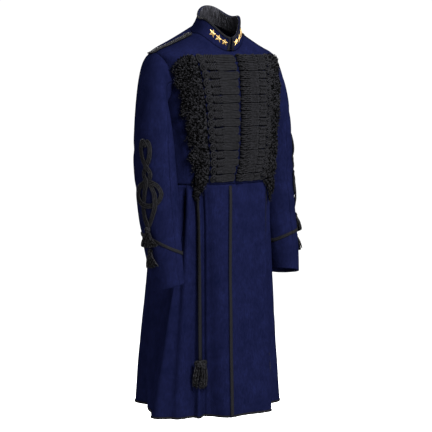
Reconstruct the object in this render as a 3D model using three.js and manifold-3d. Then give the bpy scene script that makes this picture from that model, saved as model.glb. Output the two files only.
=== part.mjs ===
// Frogged knee-length officer's coat: cloth walls, braids, frogs, fringe and tassels. Millimetres, +Z up.
// The front faces -Y, the wearer's right is -X, the origin lies between the shoulders at the neck.
import * as THREE from 'three';
import { mergeVertices } from 'three/addons/utils/BufferGeometryUtils.js';
import Module from 'manifold-3d';

const wasm = await Module();
wasm.setup();

// Driving sizes
const CLOTH = 2.0;
const COLLAR_CLOTH = 2.6;
const SILK = 1.0;
const SEAM = 0.3;
const SEAT = 0.35;
const BRAID_THICK = 1.6;
const BRAID_WIDE = 9;
const BINDING_WIDE = 6;
const FROG_PAIRS = 8;
const FROG_TOP = -63;
const FROG_BOTTOM = -397;
const FRINGE_STRANDS = 38;
const FRINGE_HEAD = 8;
const STRAND_WIDE = 2.7;
const SKIRT_TASSEL_STRANDS = 10;
const SLEEVE_TASSEL_STRANDS = 8;
const STAR_RADIUS = 9.4;
const STAR_STEP = 15.6;
const TURN = Math.PI / 180;

// Bodice rings from the waist seam to the neck: height at side, front and back, middle, half width,
// front and back depth, squareness of the front
const BODICE = [
  { zs: -402, zf: -404, zb: -402, yc: 0, a: 171, bf: 127, bb: 112, n: 2.6 },
  { zs: -345, zf: -346, zb: -345, yc: 0, a: 169, bf: 134, bb: 116, n: 2.8 },
  { zs: -275, zf: -277, zb: -275, yc: 0, a: 171, bf: 138, bb: 123, n: 2.9 },
  { zs: -205, zf: -208, zb: -205, yc: 0, a: 175, bf: 139, bb: 127, n: 3.0 },
  { zs: -142, zf: -147, zb: -138, yc: 0, a: 179, bf: 136, bb: 125, n: 2.9 },
  { zs: -96, zf: -108, zb: -88, yc: -1, a: 184, bf: 130, bb: 116, n: 2.7 },
  { zs: -64, zf: -86, zb: -52, yc: -4, a: 187, bf: 121, bb: 103, n: 2.6 },
  { zs: -50, zf: -75, zb: -29, yc: -9, a: 174, bf: 110, bb: 92, n: 2.5 },
  { zs: -37, zf: -68, zb: -9, yc: -17, a: 143, bf: 96, bb: 82, n: 2.4 },
  { zs: -21, zf: -61, zb: 10, yc: -27, a: 107, bf: 80, bb: 73, n: 2.3 },
  { zs: -5, zf: -53, zb: 26, yc: -36, a: 72, bf: 58, bb: 65, n: 2.1 },
];

// Skirt rings from the waist seam to the hem
const SKIRT = [
  { z: -404.4, a: 171, bf: 127, bb: 112, n: 2.6 },
  { z: -440, a: 170, bf: 127, bb: 124, n: 2.5 },
  { z: -500, a: 170, bf: 129, bb: 138, n: 2.4 },
  { z: -600, a: 173, bf: 132, bb: 152, n: 2.4 },
  { z: -700, a: 178, bf: 136, bb: 165, n: 2.4 },
  { z: -860, a: 190, bf: 143, bb: 184, n: 2.3 },
  { z: -960, a: 198, bf: 150, bb: 190, n: 2.3 },
  { z: -1030, a: 203, bf: 154, bb: 193, n: 2.3 },
];
const SKIRT_TOP = -404.4 - SEAM;
const SKIRT_HEM = -1030;

// Skirt folds, a row each: turn at the waist and at the hem, half width in degrees, push at waist and hem
const FOLDS = [
  { top: -48, hem: -80, wide: 12, waist: 5, hemPush: 14 },
  { top: -41, hem: -44, wide: 8, waist: -9, hemPush: -24 },
  { top: -24, hem: -22, wide: 9, waist: -2, hemPush: -26 },
  { top: -9, hem: -9, wide: 8, waist: 2, hemPush: 8 },
  { top: 44, hem: 19, wide: 12, waist: 5, hemPush: 13 },
  { top: 57, hem: 44, wide: 12, waist: -8, hemPush: -60 },
  { top: 74, hem: 92, wide: 13, waist: 5, hemPush: 38 },
  { top: 112, hem: 118, wide: 11, waist: -4, hemPush: -24 },
  { top: 138, hem: 142, wide: 12, waist: 4, hemPush: 20 },
  { top: 166, hem: 164, wide: 9, waist: -7, hemPush: -16 },
  { top: 195, hem: 198, wide: 9, waist: -7, hemPush: -18 },
  { top: 221, hem: 220, wide: 12, waist: 4, hemPush: 18 },
  { top: 247, hem: 244, wide: 11, waist: -4, hemPush: -22 },
  { top: 242, hem: 236, wide: 28, waist: -8, hemPush: -14 },
];

// Sleeve rings from the armhole to the cuff: outer and inner rail, half depth, middle on either side
const SLEEVE = [
  { xo: 183, zo: -56, xi: 183, zi: -208, r: 64, right: -4, left: -4 },
  { xo: 195, zo: -60, xi: 186.5, zi: -215, r: 64, right: -10, left: -4 },
  { xo: 211, zo: -80, xi: 188, zi: -224, r: 64, right: -21, left: -2 },
  { xo: 231, zo: -122, xi: 188, zi: -235, r: 65, right: -35, left: 2 },
  { xo: 250, zo: -182, xi: 186.5, zi: -256, r: 67, right: -50, left: 7 },
  { xo: 265, zo: -252, xi: 184.5, zi: -294, r: 68, right: -61, left: 12 },
  { xo: 275, zo: -325, xi: 183, zi: -342, r: 68, right: -70, left: 15 },
  { xo: 277, zo: -400, xi: 182, zi: -400, r: 66, right: -79, left: 12 },
  { xo: 276, zo: -480, xi: 183, zi: -472, r: 63, right: -90, left: 0 },
  { xo: 271, zo: -560, xi: 185, zi: -550, r: 57, right: -104, left: -20 },
  { xo: 265, zo: -618, xi: 187, zi: -612, r: 52, right: -117, left: -36 },
  { xo: 259, zo: -668, xi: 189, zi: -660, r: 48, right: -128, left: -48 },
];
// The sleeve end is cut square to the bent arm
const CUFF_TILT = 10;
const CUFF_TILT_TURN = 18;

// Collar rings from the neck seam to the rim
const COLLAR = [
  { zs: -4.6, zf: -52.6, zb: 26.4, yc: -36, a: 72, bf: 58, bb: 65, n: 2.1 },
  { zs: 11, zf: -38, zb: 42, yc: -40, a: 64, bf: 56, bb: 59, n: 2.05 },
  { zs: 27, zf: -25, zb: 58, yc: -43, a: 58, bf: 55, bb: 55, n: 2.0 },
  { zs: 36, zf: -16, zb: 71, yc: -45, a: 54, bf: 54, bb: 53, n: 2.0 },
];

// Frog rows: reach from the closure to the outer loop
const FROG_REACH = [
  { z: -60, right: 122, left: 114 },
  { z: -110, right: 112, left: 110 },
  { z: -200, right: 103, left: 106 },
  { z: -290, right: 96, left: 102 },
  { z: -400, right: 76, left: 100 },
];
// Fringe: how far the strands stand out and how far they fall
const FRINGE = [
  { z: -60, right: 58, left: 58, fall: 34 },
  { z: -120, right: 57, left: 58, fall: 42 },
  { z: -200, right: 50, left: 55, fall: 46 },
  { z: -250, right: 46, left: 54, fall: 46 },
  { z: -330, right: 37, left: 52, fall: 46 },
  { z: -400, right: 27, left: 48, fall: 46 },
];
const CLOSURE = [
  { z: -50, x: 0 },
  { z: -330, x: 0 },
  { z: -405, x: -13 },
];
const FRONT_EDGE = [
  { z: -400, x: -29 },
  { z: -1035, x: -44 },
];

// Smooth reading of a table at a fraction of its length
function readTable(table, fraction) {
  const last = table.length - 1;
  const place = Math.min(Math.max(fraction, 0), 1) * last;
  const i = Math.min(Math.floor(place), last - 1);
  const f = place - i;
  const row = {};
  for (const key of Object.keys(table[0])) {
    const p1 = table[i][key];
    const p2 = table[i + 1][key];
    const p0 = i > 0 ? table[i - 1][key] : 2 * p1 - p2;
    const p3 = i + 2 <= last ? table[i + 2][key] : 2 * p2 - p1;
    const m1 = (p2 - p0) / 2;
    const m2 = (p3 - p1) / 2;
    const f2 = f * f;
    const f3 = f2 * f;
    row[key] = (2 * f3 - 3 * f2 + 1) * p1 + (f3 - 2 * f2 + f) * m1
      + (3 * f2 - 2 * f3) * p2 + (f3 - f2) * m2;
  }
  return row;
}

// Straight reading of a table by height, the rows run downwards
function readByHeight(table, z) {
  let i = 0;
  while (i < table.length - 2 && z < table[i + 1].z) i += 1;
  const f = Math.min(Math.max((table[i].z - z) / (table[i].z - table[i + 1].z), 0), 1);
  const row = {};
  for (const key of Object.keys(table[0])) {
    row[key] = table[i][key] * (1 - f) + table[i + 1][key] * f;
  }
  return row;
}

function signedPower(value, power) {
  return Math.sign(value) * Math.abs(value) ** power;
}

// Point of a ring: turn 0 at the front, 90 at the wearer's left
function ringPoint(row, turn) {
  const s = Math.sin(turn * TURN);
  const c = Math.cos(turn * TURN);
  const n = c > 0 ? row.n : 2.3;
  const wide = n * 0.5 + 1.15;
  const x = row.a * signedPower(s, 2 / (c > 0 ? row.n : 2.3));
  const depth = c > 0 ? row.bf : row.bb;
  const y = row.yc - depth * signedPower(c, 2 / wide);
  return [x, y];
}

function tiltedPoint(table, turn, v) {
  const row = readTable(table, v);
  const [x, y] = ringPoint(row, turn);
  const c = Math.cos(turn * TURN);
  const z = row.zs + ((c > 0 ? row.zf : row.zb) - row.zs) * c * c;
  return new THREE.Vector3(x, y, z);
}

function normalOf(surface, u, v, du, dv) {
  const pu = surface(u + du, v).sub(surface(u - du, v));
  const pv = surface(u, v + dv).sub(surface(u, v - dv));
  return pu.cross(pv).normalize();
}

function bodice(turn, v) {
  return tiltedPoint(BODICE, turn, v);
}

// The bodice or collar surface moved out by a distance
function lifted(surface, turn, v, lift) {
  const p = surface(turn, v);
  const inset = Math.min(Math.max(v, 0.003), 0.997);
  const n = normalOf(surface, turn, inset, 0.4, 0.003);
  return p.addScaledVector(n, lift);
}

// The rim stands higher on the left side
const RIM_RISE = 9;

function collar(turn, v) {
  const p = tiltedPoint(COLLAR, turn, v);
  p.z += RIM_RISE * v * Math.exp(-(((turn - 70) / 38) ** 2));
  return p;
}

function skirt(turn, z) {
  const row = readTable(SKIRT, skirtFraction(z));
  const [x, y] = ringPoint({ ...row, yc: 0 }, turn);
  const drop = (SKIRT_TOP - z) / (SKIRT_TOP - SKIRT_HEM);
  let push = 0;
  for (const fold of FOLDS) {
    const at = fold.top + (fold.hem - fold.top) * drop;
    let away = turn - at;
    if (away > 180) away -= 360;
    if (away < -180) away += 360;
    const size = fold.waist * Math.min(1, drop * 12) * (1 - drop) + fold.hemPush * drop ** 1.6;
    push += size * Math.exp(-((away / fold.wide) ** 2));
  }
  const s = Math.sin(turn * TURN);
  const c = Math.cos(turn * TURN);
  return new THREE.Vector3(x + push * s, y - push * c, z);
}

function skirtFraction(z) {
  const last = SKIRT.length - 1;
  let i = 0;
  while (i < last - 1 && z < SKIRT[i + 1].z) i += 1;
  return (i + (SKIRT[i].z - z) / (SKIRT[i].z - SKIRT[i + 1].z)) / last;
}

function liftedSkirt(turn, z, lift) {
  const n = normalOf(skirt, turn, Math.min(Math.max(z, SKIRT_HEM + 3), SKIRT_TOP - 3), 0.5, 3);
  return skirt(turn, z).addScaledVector(n, lift);
}

// Place on the bodice front for a given x and height
function frontPlace(x, z) {
  let low = 0;
  let high = 1;
  let turn = 0;
  for (let k = 0; k < 26; k += 1) {
    const mid = (low + high) / 2;
    const row = readTable(BODICE, mid);
    const share = Math.min(Math.abs(x) / row.a, 0.999);
    turn = (Math.asin(share ** (row.n / 2)) / TURN) * Math.sign(x || 1);
    if (bodice(turn, mid).z < z) low = mid;
    else high = mid;
  }
  return { turn, v: (low + high) / 2 };
}

function rowAt(turn, z) {
  let low = 0;
  let high = 1;
  for (let k = 0; k < 20; k += 1) {
    const mid = (low + high) / 2;
    if (bodice(turn, mid).z < z) low = mid;
    else high = mid;
  }
  return (low + high) / 2;
}

function frontPoint(x, z, lift) {
  const place = frontPlace(x, z);
  return lifted(bodice, place.turn, place.v, lift);
}

// Place on the skirt front for a given x
function skirtTurn(x, z) {
  const row = readTable(SKIRT, skirtFraction(z));
  const share = Math.min(Math.abs(x) / row.a, 0.999);
  return (Math.asin(share ** (row.n / 2)) / TURN) * Math.sign(x || 1);
}

// Indexed geometry from two point grids joined at their rims
function wallFromGrids(outer, inner, closedRing) {
  const nu = outer.length;
  const nv = outer[0].length;
  const position = [];
  for (const grid of [outer, inner]) {
    for (const line of grid) {
      for (const p of line) position.push(p.x, p.y, p.z);
    }
  }
  const index = [];
  const at = (layer, i, j) => layer * nu * nv + (i % nu) * nv + j;
  const quad = (a, b, c, d) => index.push(a, b, c, a, c, d);
  const lines = closedRing ? nu : nu - 1;
  for (let i = 0; i < lines; i += 1) {
    for (let j = 0; j < nv - 1; j += 1) {
      quad(at(0, i, j), at(0, i + 1, j), at(0, i + 1, j + 1), at(0, i, j + 1));
      quad(at(1, i, j), at(1, i, j + 1), at(1, i + 1, j + 1), at(1, i + 1, j));
    }
    quad(at(1, i, 0), at(1, i + 1, 0), at(0, i + 1, 0), at(0, i, 0));
    quad(at(0, i, nv - 1), at(0, i + 1, nv - 1), at(1, i + 1, nv - 1), at(1, i, nv - 1));
  }
  if (!closedRing) {
    for (let j = 0; j < nv - 1; j += 1) {
      quad(at(0, 0, j), at(0, 0, j + 1), at(1, 0, j + 1), at(1, 0, j));
      quad(at(1, nu - 1, j), at(1, nu - 1, j + 1), at(0, nu - 1, j + 1), at(0, nu - 1, j));
    }
  }
  const geometry = new THREE.BufferGeometry();
  geometry.setAttribute('position', new THREE.Float32BufferAttribute(position, 3));
  geometry.setIndex(index);
  return outwards(geometry);
}

// Turns the faces outwards where the signed volume is negative
function outwards(geometry) {
  const p = geometry.attributes.position;
  const index = geometry.index.array;
  const a = new THREE.Vector3();
  const b = new THREE.Vector3();
  const c = new THREE.Vector3();
  let volume = 0;
  for (let i = 0; i < index.length; i += 3) {
    a.fromBufferAttribute(p, index[i]);
    b.fromBufferAttribute(p, index[i + 1]);
    c.fromBufferAttribute(p, index[i + 2]);
    volume += a.dot(b.cross(c));
  }
  if (volume > 0) return geometry;
  const turned = [];
  for (let i = 0; i < index.length; i += 3) turned.push(index[i], index[i + 2], index[i + 1]);
  geometry.setIndex(turned);
  return geometry;
}

// A sheet over a list of u and v stations; place(u, v, lift) gives its points
function sheet(place, us, vs, top, bottom, closedRing = false) {
  const grid = (lift) => us.map((u, i) => vs.map((v, j) => place(u, v, lift(i, j))));
  const height = typeof top === 'function' ? top : () => top;
  return wallFromGrids(grid(height), grid(() => bottom), closedRing);
}

function steps(from, to, count) {
  return Array.from({ length: count + 1 }, (_, i) => from + ((to - from) * i) / count);
}

function toManifold(geometry) {
  const bare = new THREE.BufferGeometry();
  bare.setAttribute('position', geometry.attributes.position);
  if (geometry.index) bare.setIndex(geometry.index);
  const merged = mergeVertices(bare, 1e-4);
  return new wasm.Manifold(new wasm.Mesh({
    numProp: 3,
    vertProperties: new Float32Array(merged.attributes.position.array),
    triVerts: new Uint32Array(merged.index.array),
  }));
}

const SLACK = 0.08;
function fromManifold(solid) {
  const mesh = solid.simplify(SLACK).getMesh();
  const geometry = new THREE.BufferGeometry();
  const position = new Float32Array(mesh.numVert * 3);
  for (let i = 0; i < mesh.numVert; i += 1) {
    for (let k = 0; k < 3; k += 1) position[i * 3 + k] = mesh.vertProperties[i * mesh.numProp + k];
  }
  geometry.setAttribute('position', new THREE.BufferAttribute(position, 3));
  geometry.setIndex(new THREE.BufferAttribute(new Uint32Array(mesh.triVerts), 1));
  return geometry;
}

function joined(geometries) {
  let solid = toManifold(geometries[0]);
  for (const geometry of geometries.slice(1)) solid = solid.add(toManifold(geometry));
  return fromManifold(solid);
}

// A trim cut back to the seat over the panels that carry it, without loose slivers
function seated(geometry, carriers) {
  let solid = toManifold(geometry);
  for (const carrier of carriers) solid = solid.subtract(carrier);
  const pieces = solid.decompose();
  return fromManifold(pieces.reduce((a, b) => (a.volume() > b.volume() ? a : b)));
}

function cut(geometry, tools) {
  let solid = toManifold(geometry);
  for (const tool of tools) solid = solid.subtract(toManifold(tool));
  return fromManifold(solid);
}

// A strand or cord through centre points with a regular section of few sides
function cord(points, wide, thick, sides, outs) {
  const rings = points.map((p, i) => {
    const ahead = points[Math.min(i + 1, points.length - 1)].clone();
    const along = ahead.sub(points[Math.max(i - 1, 0)]).normalize();
    const out = outs[i].clone().addScaledVector(along, -outs[i].dot(along)).normalize();
    const across = along.clone().cross(out);
    return Array.from({ length: sides }, (_, k) => {
      const turn = (2 * Math.PI * (k + 0.5)) / sides - Math.PI / 2;
      return p.clone()
        .addScaledVector(across, (wide / 2) * Math.cos(turn))
        .addScaledVector(out, (thick / 2) * Math.sin(turn));
    });
  });
  return ringsSolid(rings);
}

function ringsSolid(rings) {
  const sides = rings[0].length;
  const position = [];
  for (const ring of rings) {
    for (const p of ring) position.push(p.x, p.y, p.z);
  }
  const index = [];
  for (let i = 0; i < rings.length - 1; i += 1) {
    for (let k = 0; k < sides; k += 1) {
      const a = i * sides + k;
      const b = i * sides + ((k + 1) % sides);
      index.push(a, b, b + sides, a, b + sides, a + sides);
    }
  }
  const end = (rings.length - 1) * sides;
  for (let k = 1; k < sides - 1; k += 1) {
    index.push(0, k + 1, k);
    index.push(end, end + k, end + k + 1);
  }
  const geometry = new THREE.BufferGeometry();
  geometry.setAttribute('position', new THREE.Float32BufferAttribute(position, 3));
  geometry.setIndex(index);
  return outwards(geometry);
}

// Height or reach of a point grid along an axis, read through its triangles
function reachOn(grids, axis, p, q) {
  const others = { x: ['y', 'z'], z: ['x', 'y'] }[axis];
  let best = -Infinity;
  const test = (a, b, c) => {
    const [u, w] = others;
    const d = (b[u] - a[u]) * (c[w] - a[w]) - (c[u] - a[u]) * (b[w] - a[w]);
    if (Math.abs(d) < 1e-9) return;
    const s = ((p - a[u]) * (c[w] - a[w]) - (c[u] - a[u]) * (q - a[w])) / d;
    const t = ((b[u] - a[u]) * (q - a[w]) - (p - a[u]) * (b[w] - a[w])) / d;
    if (s < 0 || t < 0 || s + t > 1) return;
    best = Math.max(best, a[axis] * (1 - s - t) + b[axis] * s + c[axis] * t);
  };
  for (const grid of grids) {
    for (let i = 0; i < grid.length - 1; i += 1) {
      for (let j = 0; j < grid[0].length - 1; j += 1) {
        test(grid[i][j], grid[i + 1][j], grid[i + 1][j + 1]);
        test(grid[i][j], grid[i + 1][j + 1], grid[i][j + 1]);
      }
    }
  }
  return best;
}

// Armholes
const SIDE_GRID = steps(20, 160, 56).map((turn) => steps(0, 1, 60).map((v) => bodice(turn, v)));
const ARM = SLEEVE[0];
const ARM_MIDDLE_Z = (ARM.zo + ARM.zi) / 2;
const ARM_HALF = (ARM.zo - ARM.zi) / 2;

function armholeX(y, z) {
  return reachOn([SIDE_GRID], 'x', y, z);
}

function armholeTool(side) {
  const ring = (x) => steps(0, 360, 36).slice(0, 36).map((turn) => new THREE.Vector3(
    x,
    ARM.right - (ARM.r + 0.4) * Math.cos(turn * TURN),
    ARM_MIDDLE_Z + (ARM_HALF + 0.4) * Math.sin(turn * TURN),
  ));
  return ringsSolid([ring(side * 120), ring(side * 230)]);
}

function cuffTilt(turn, v) {
  return CUFF_TILT * v ** 3 * Math.cos((turn + CUFF_TILT_TURN) * TURN);
}

// Sleeve point: turn 0 at the front, 90 on the outer rail
function sleevePoint(side, turn, v) {
  const row = readTable(SLEEVE, v);
  const middleX = (row.xo + row.xi) / 2;
  const middleZ = (row.zo + row.zi) / 2;
  const s = signedPower(Math.sin(turn * TURN), 0.92);
  const c = signedPower(Math.cos(turn * TURN), 0.92);
  const y = (side < 0 ? row.right : row.left) - row.r * c;
  const z = middleZ + ((row.zo - row.zi) / 2) * s + cuffTilt(turn, v);
  const x = middleX + ((row.xo - row.xi) / 2) * s;
  return new THREE.Vector3(side * x, y, z);
}

const SLEEVE_TURNS = steps(0, 360, 18).slice(0, 18);
const SLEEVE_ROWS = [0, 0.06, 0.13, 0.22, 0.32, 0.43, 0.55, 0.67, 0.79, 0.9, 1];

// The first ring follows the armhole, the next ones leave it step by step
function sleeve(side, turn, v) {
  const p = sleevePoint(side, turn, v);
  const hold = Math.max(0, 1 - v / 0.2);
  if (hold > 0) {
    const s = Math.sin(turn * TURN);
    const c = Math.cos(turn * TURN);
    const y = ARM.right - ARM.r * c;
    const z = ARM_MIDDLE_Z + ARM_HALF * s;
    const x = armholeX(y, z) - ARM.xo;
    p.x += side * x * hold * hold;
    if (v === 0) p.set(side * (ARM.xo + x), y, z);
  }
  return p;
}

function sleeveLifted(side, turn, v, lift) {
  const base = (a, b) => sleeve(side, a, b);
  const n = normalOf(base, turn, Math.min(Math.max(v, 0.012), 0.988), 1.5, 0.01);
  return base(turn, v).addScaledVector(n, side < 0 ? lift : -lift);
}

function sleeveRowAt(z) {
  let low = 0;
  let high = 1;
  for (let k = 0; k < 24; k += 1) {
    const mid = (low + high) / 2;
    const row = readTable(SLEEVE, mid);
    if ((row.zo + row.zi) / 2 > z) low = mid;
    else high = mid;
  }
  return (low + high) / 2;
}

// Knots sit on the front of the outer side
const KNOT_TURN = 61;

const KNOT_LEAN = [
  { z: -300, a: 12 },
  { z: -420, a: 2.5 },
  { z: -500, a: 15 },
  { z: -600, a: 18 },
];

function knotPoint(side, across, z, lift) {
  const v = sleeveRowAt(z);
  const row = readTable(SLEEVE, v);
  const turn = KNOT_TURN + (across + readByHeight(KNOT_LEAN, z).a) / (row.r * 0.93) / TURN;
  return sleeveLifted(side, turn, v, lift);
}

function knotOut(side, across, z) {
  return knotPoint(side, across, z, 4).sub(knotPoint(side, across, z, 0)).normalize();
}

// Materials
function finish(name, colour, roughness, metalness = 0) {
  const material = new THREE.MeshStandardMaterial({ color: colour, roughness, metalness });
  material.name = name;
  return material;
}

const WOOL = () => finish('navy_wool', 0x1b2047, 0.9);
const MOHAIR = () => finish('black_braid', 0x19191d, 0.65);
const CORD = () => finish('black_cord', 0x1f1f24, 0.6);
const LINING = () => finish('black_silk', 0x0e0e11, 0.45);
const GOLD = () => finish('gold_thread', 0xd2aa4b, 0.4, 0.8);

const group = new THREE.Group();
group.name = 'cavalry_uniform';

function place(name, geometry, material) {
  const mesh = new THREE.Mesh(geometry, material);
  mesh.name = name;
  group.add(mesh);
}

const SIDES = [
  { name: 'right', sign: -1 },
  { name: 'left', sign: 1 },
];

// Walls a little thicker than the cloth: trims are cut back to them
const carriers = {};

function clothWall(name, surface, us, vs, tools = [], closedRing = false) {
  const wall = (top, bottom) => {
    const whole = sheet(surface, us, vs, top, bottom, closedRing);
    return tools.length ? cut(whole, tools) : whole;
  };
  carriers[name] = toManifold(wall(SEAM, -CLOTH - SEAM));
  place(name, wall(0, -CLOTH), WOOL());
}

// Bodice
const SIDE_SEAM = 96;
const BODICE_ROWS = [0, 0.13, 0.26, 0.39, 0.5, 0.6, 0.7, 0.8, 0.9, 1];

function closureTurn(v, gap) {
  const z = bodice(0, v).z;
  const x = readByHeight(CLOSURE, z).x + gap;
  const row = readTable(BODICE, v);
  return (Math.asin((Math.abs(x) / row.a) ** (row.n / 2)) / TURN) * Math.sign(x);
}

for (const side of SIDES) {
  const panel = (share, v, lift) => {
    const edge = closureTurn(v, side.sign * SEAM * 0.6);
    const seam = side.sign * SIDE_SEAM;
    return lifted(bodice, edge + (seam - edge) * share, v, lift);
  };
  const shares = [0, 0.07, 0.15, 0.25, 0.35, 0.45, 0.55, 0.65, 0.75, 0.85, 0.93, 1];
  clothWall(`front_${side.name}`, panel, shares, BODICE_ROWS, [armholeTool(side.sign)]);
}
{
  const gap = 0.14;
  const turns = steps(SIDE_SEAM + gap, 360 - SIDE_SEAM - gap, 14);
  const surface = (turn, v, lift) => lifted(bodice, turn, v, lift);
  clothWall('back', surface, turns, BODICE_ROWS, [armholeTool(1), armholeTool(-1)]);
}

// Skirts: two fronts and two back parts with a vent behind
const SKIRT_ROWS = [0, 0.05, 0.15, 0.27, 0.4, 0.54, 0.69, 0.85, 1];
const SEAM_TURN = 0.09;

function skirtZ(v, step) {
  return SKIRT_TOP + (SKIRT_HEM + step - SKIRT_TOP) * v;
}

function seamTurn(v) {
  return 50 + 32 * v;
}

function seamTurnAt(z) {
  return seamTurn((SKIRT_TOP - z) / (SKIRT_TOP - SKIRT_HEM));
}

const HEM_STEP = 6;
for (const side of SIDES) {
  const front = (share, v, lift) => {
    const z = skirtZ(v, 0);
    const edge = skirtTurn(readByHeight(FRONT_EDGE, z).x + side.sign * SEAM * 0.6, z);
    const seam = side.sign * (seamTurnAt(z) - SEAM_TURN);
    return liftedSkirt(edge + (seam - edge) * share, z, lift);
  };
  clothWall(`skirt_front_${side.name}`, front, steps(0, 1, side.sign > 0 ? 13 : 11), SKIRT_ROWS);
  const back = (share, v, lift) => {
    const z = skirtZ(v, v === 1 ? HEM_STEP : 0);
    const seam = side.sign * (seamTurnAt(z) + SEAM_TURN);
    const vent = side.sign * 179.92;
    return liftedSkirt(seam + (vent - seam) * share, z, lift);
  };
  clothWall(`skirt_back_${side.name}`, back, steps(0, 1, 13), SKIRT_ROWS);
}

// Sleeves
for (const side of SIDES) {
  const surface = (turn, v, lift) => sleeveLifted(side.sign, turn, v, lift);
  clothWall(`sleeve_${side.name}`, surface, SLEEVE_TURNS, SLEEVE_ROWS, [], true);
}

// Collar with its lining and edging
const COLLAR_OPEN = 2.6;
const COLLAR_TURNS = steps(COLLAR_OPEN, 360 - COLLAR_OPEN, 22);
const onCollar = (turn, v, lift) => lifted(collar, turn, v, lift);
const COLLAR_ROWS = [0, 0.33, 0.67, 1];
place('collar', sheet(onCollar, COLLAR_TURNS, COLLAR_ROWS, 0, -COLLAR_CLOTH), WOOL());
place('collar_lining', sheet(onCollar, COLLAR_TURNS, COLLAR_ROWS,
  -COLLAR_CLOTH - SEAT, -COLLAR_CLOTH - SEAT - SILK), LINING());
{
  const rim = sheet(onCollar, COLLAR_TURNS, [0.87, 0.985], SEAT + BRAID_THICK, SEAT);
  const rightEdge = sheet(onCollar, [360 - COLLAR_OPEN - 5, 360 - COLLAR_OPEN],
    [0.04, 0.3, 0.6, 0.95], SEAT + BRAID_THICK, SEAT);
  const leftEdge = sheet(onCollar, [COLLAR_OPEN, COLLAR_OPEN + 5],
    [0.04, 0.3, 0.6, 0.95], SEAT + BRAID_THICK, SEAT);
  place('collar_braid', joined([rim, rightEdge, leftEdge]), MOHAIR());
}

// Collar stars, three in a row on either side, tip to tip
for (const side of SIDES) {
  const stars = [0, 1, 2].map((k) => {
    const middle = side.sign * (17.5 + (k * STAR_STEP) / 56 / TURN);
    const at = (across, up, lift) => onCollar(middle + across / 56 / TURN, 0.45 + up / 42, lift);
    const ring = (lift) => Array.from({ length: 10 }, (_, i) => {
      const radius = i % 2 === 0 ? STAR_RADIUS : STAR_RADIUS * 0.42;
      const turn = (i * 36 + 90) * TURN;
      return at(radius * Math.cos(turn), radius * Math.sin(turn), lift);
    });
    const low = ring(SEAT);
    const high = ring(SEAT + 1.1);
    const position = [];
    for (const p of [...low, ...high, at(0, 0, SEAT), at(0, 0, SEAT + 2.2)]) {
      position.push(p.x, p.y, p.z);
    }
    const index = [];
    for (let i = 0; i < 10; i += 1) {
      const j = (i + 1) % 10;
      index.push(20, j, i, 21, 10 + i, 10 + j, i, j, 10 + j, i, 10 + j, 10 + i);
    }
    const geometry = new THREE.BufferGeometry();
    geometry.setAttribute('position', new THREE.Float32BufferAttribute(position, 3));
    geometry.setIndex(index);
    return outwards(geometry);
  });
  place(`collar_stars_${side.name}`, joined(stars), GOLD());
}

// Frogs: a pair of rows each, with upright loops at the closure and round loops at the outer end
const FROG_COLUMNS = [
  { share: 0, lift: 2.6, loop: 5.5 },
  { share: 0.1, lift: 2.6, loop: 6.5 },
  { share: 0.2, lift: 2.4, loop: 2.6 },
  { share: 0.84, lift: 2.4, loop: 2.4 },
  { share: 0.92, lift: 5, loop: 5 },
  { share: 1, lift: 4, loop: 4 },
];
const FROG_LINES = [
  { share: 0.02, lift: 0.75, bulge: 0 },
  { share: 0.25, lift: 1, bulge: 1 },
  { share: 0.5, lift: 0.6, bulge: 0 },
  { share: 0.75, lift: 1, bulge: 1 },
  { share: 0.98, lift: 0.75, bulge: 0 },
];
const LOOP_OUT = 7;
const FROG_SEAT = 0.6;
const FROG_TALL = (FROG_TOP - FROG_BOTTOM) / FROG_PAIRS;

for (const side of SIDES) {
  for (let k = 0; k < FROG_PAIRS; k += 1) {
    const top = FROG_TOP - FROG_TALL * k;
    const frog = (i, j, lift) => {
      const column = FROG_COLUMNS[i];
      const line = FROG_LINES[j];
      const z = top - FROG_TALL * line.share;
      const reach = readByHeight(FROG_REACH, z)[side.name] - LOOP_OUT * (1 - line.bulge);
      const inner = side.sign < 0 ? 5 : 1.2;
      const x = readByHeight(CLOSURE, z).x + side.sign * (inner + (reach - inner) * column.share);
      const tall = side.sign < 0 ? column.lift : column.loop;
      return frontPoint(x, z, FROG_SEAT + lift * tall * line.lift);
    };
    const columns = FROG_COLUMNS.map((_, i) => i);
    const lines = FROG_LINES.map((_, j) => j);
    const solid = seated(sheet(frog, columns, lines, 1, 0), [carriers[`front_${side.name}`]]);
    place(`frog_${side.name}_${k + 1}`, solid, CORD());
  }
}

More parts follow.
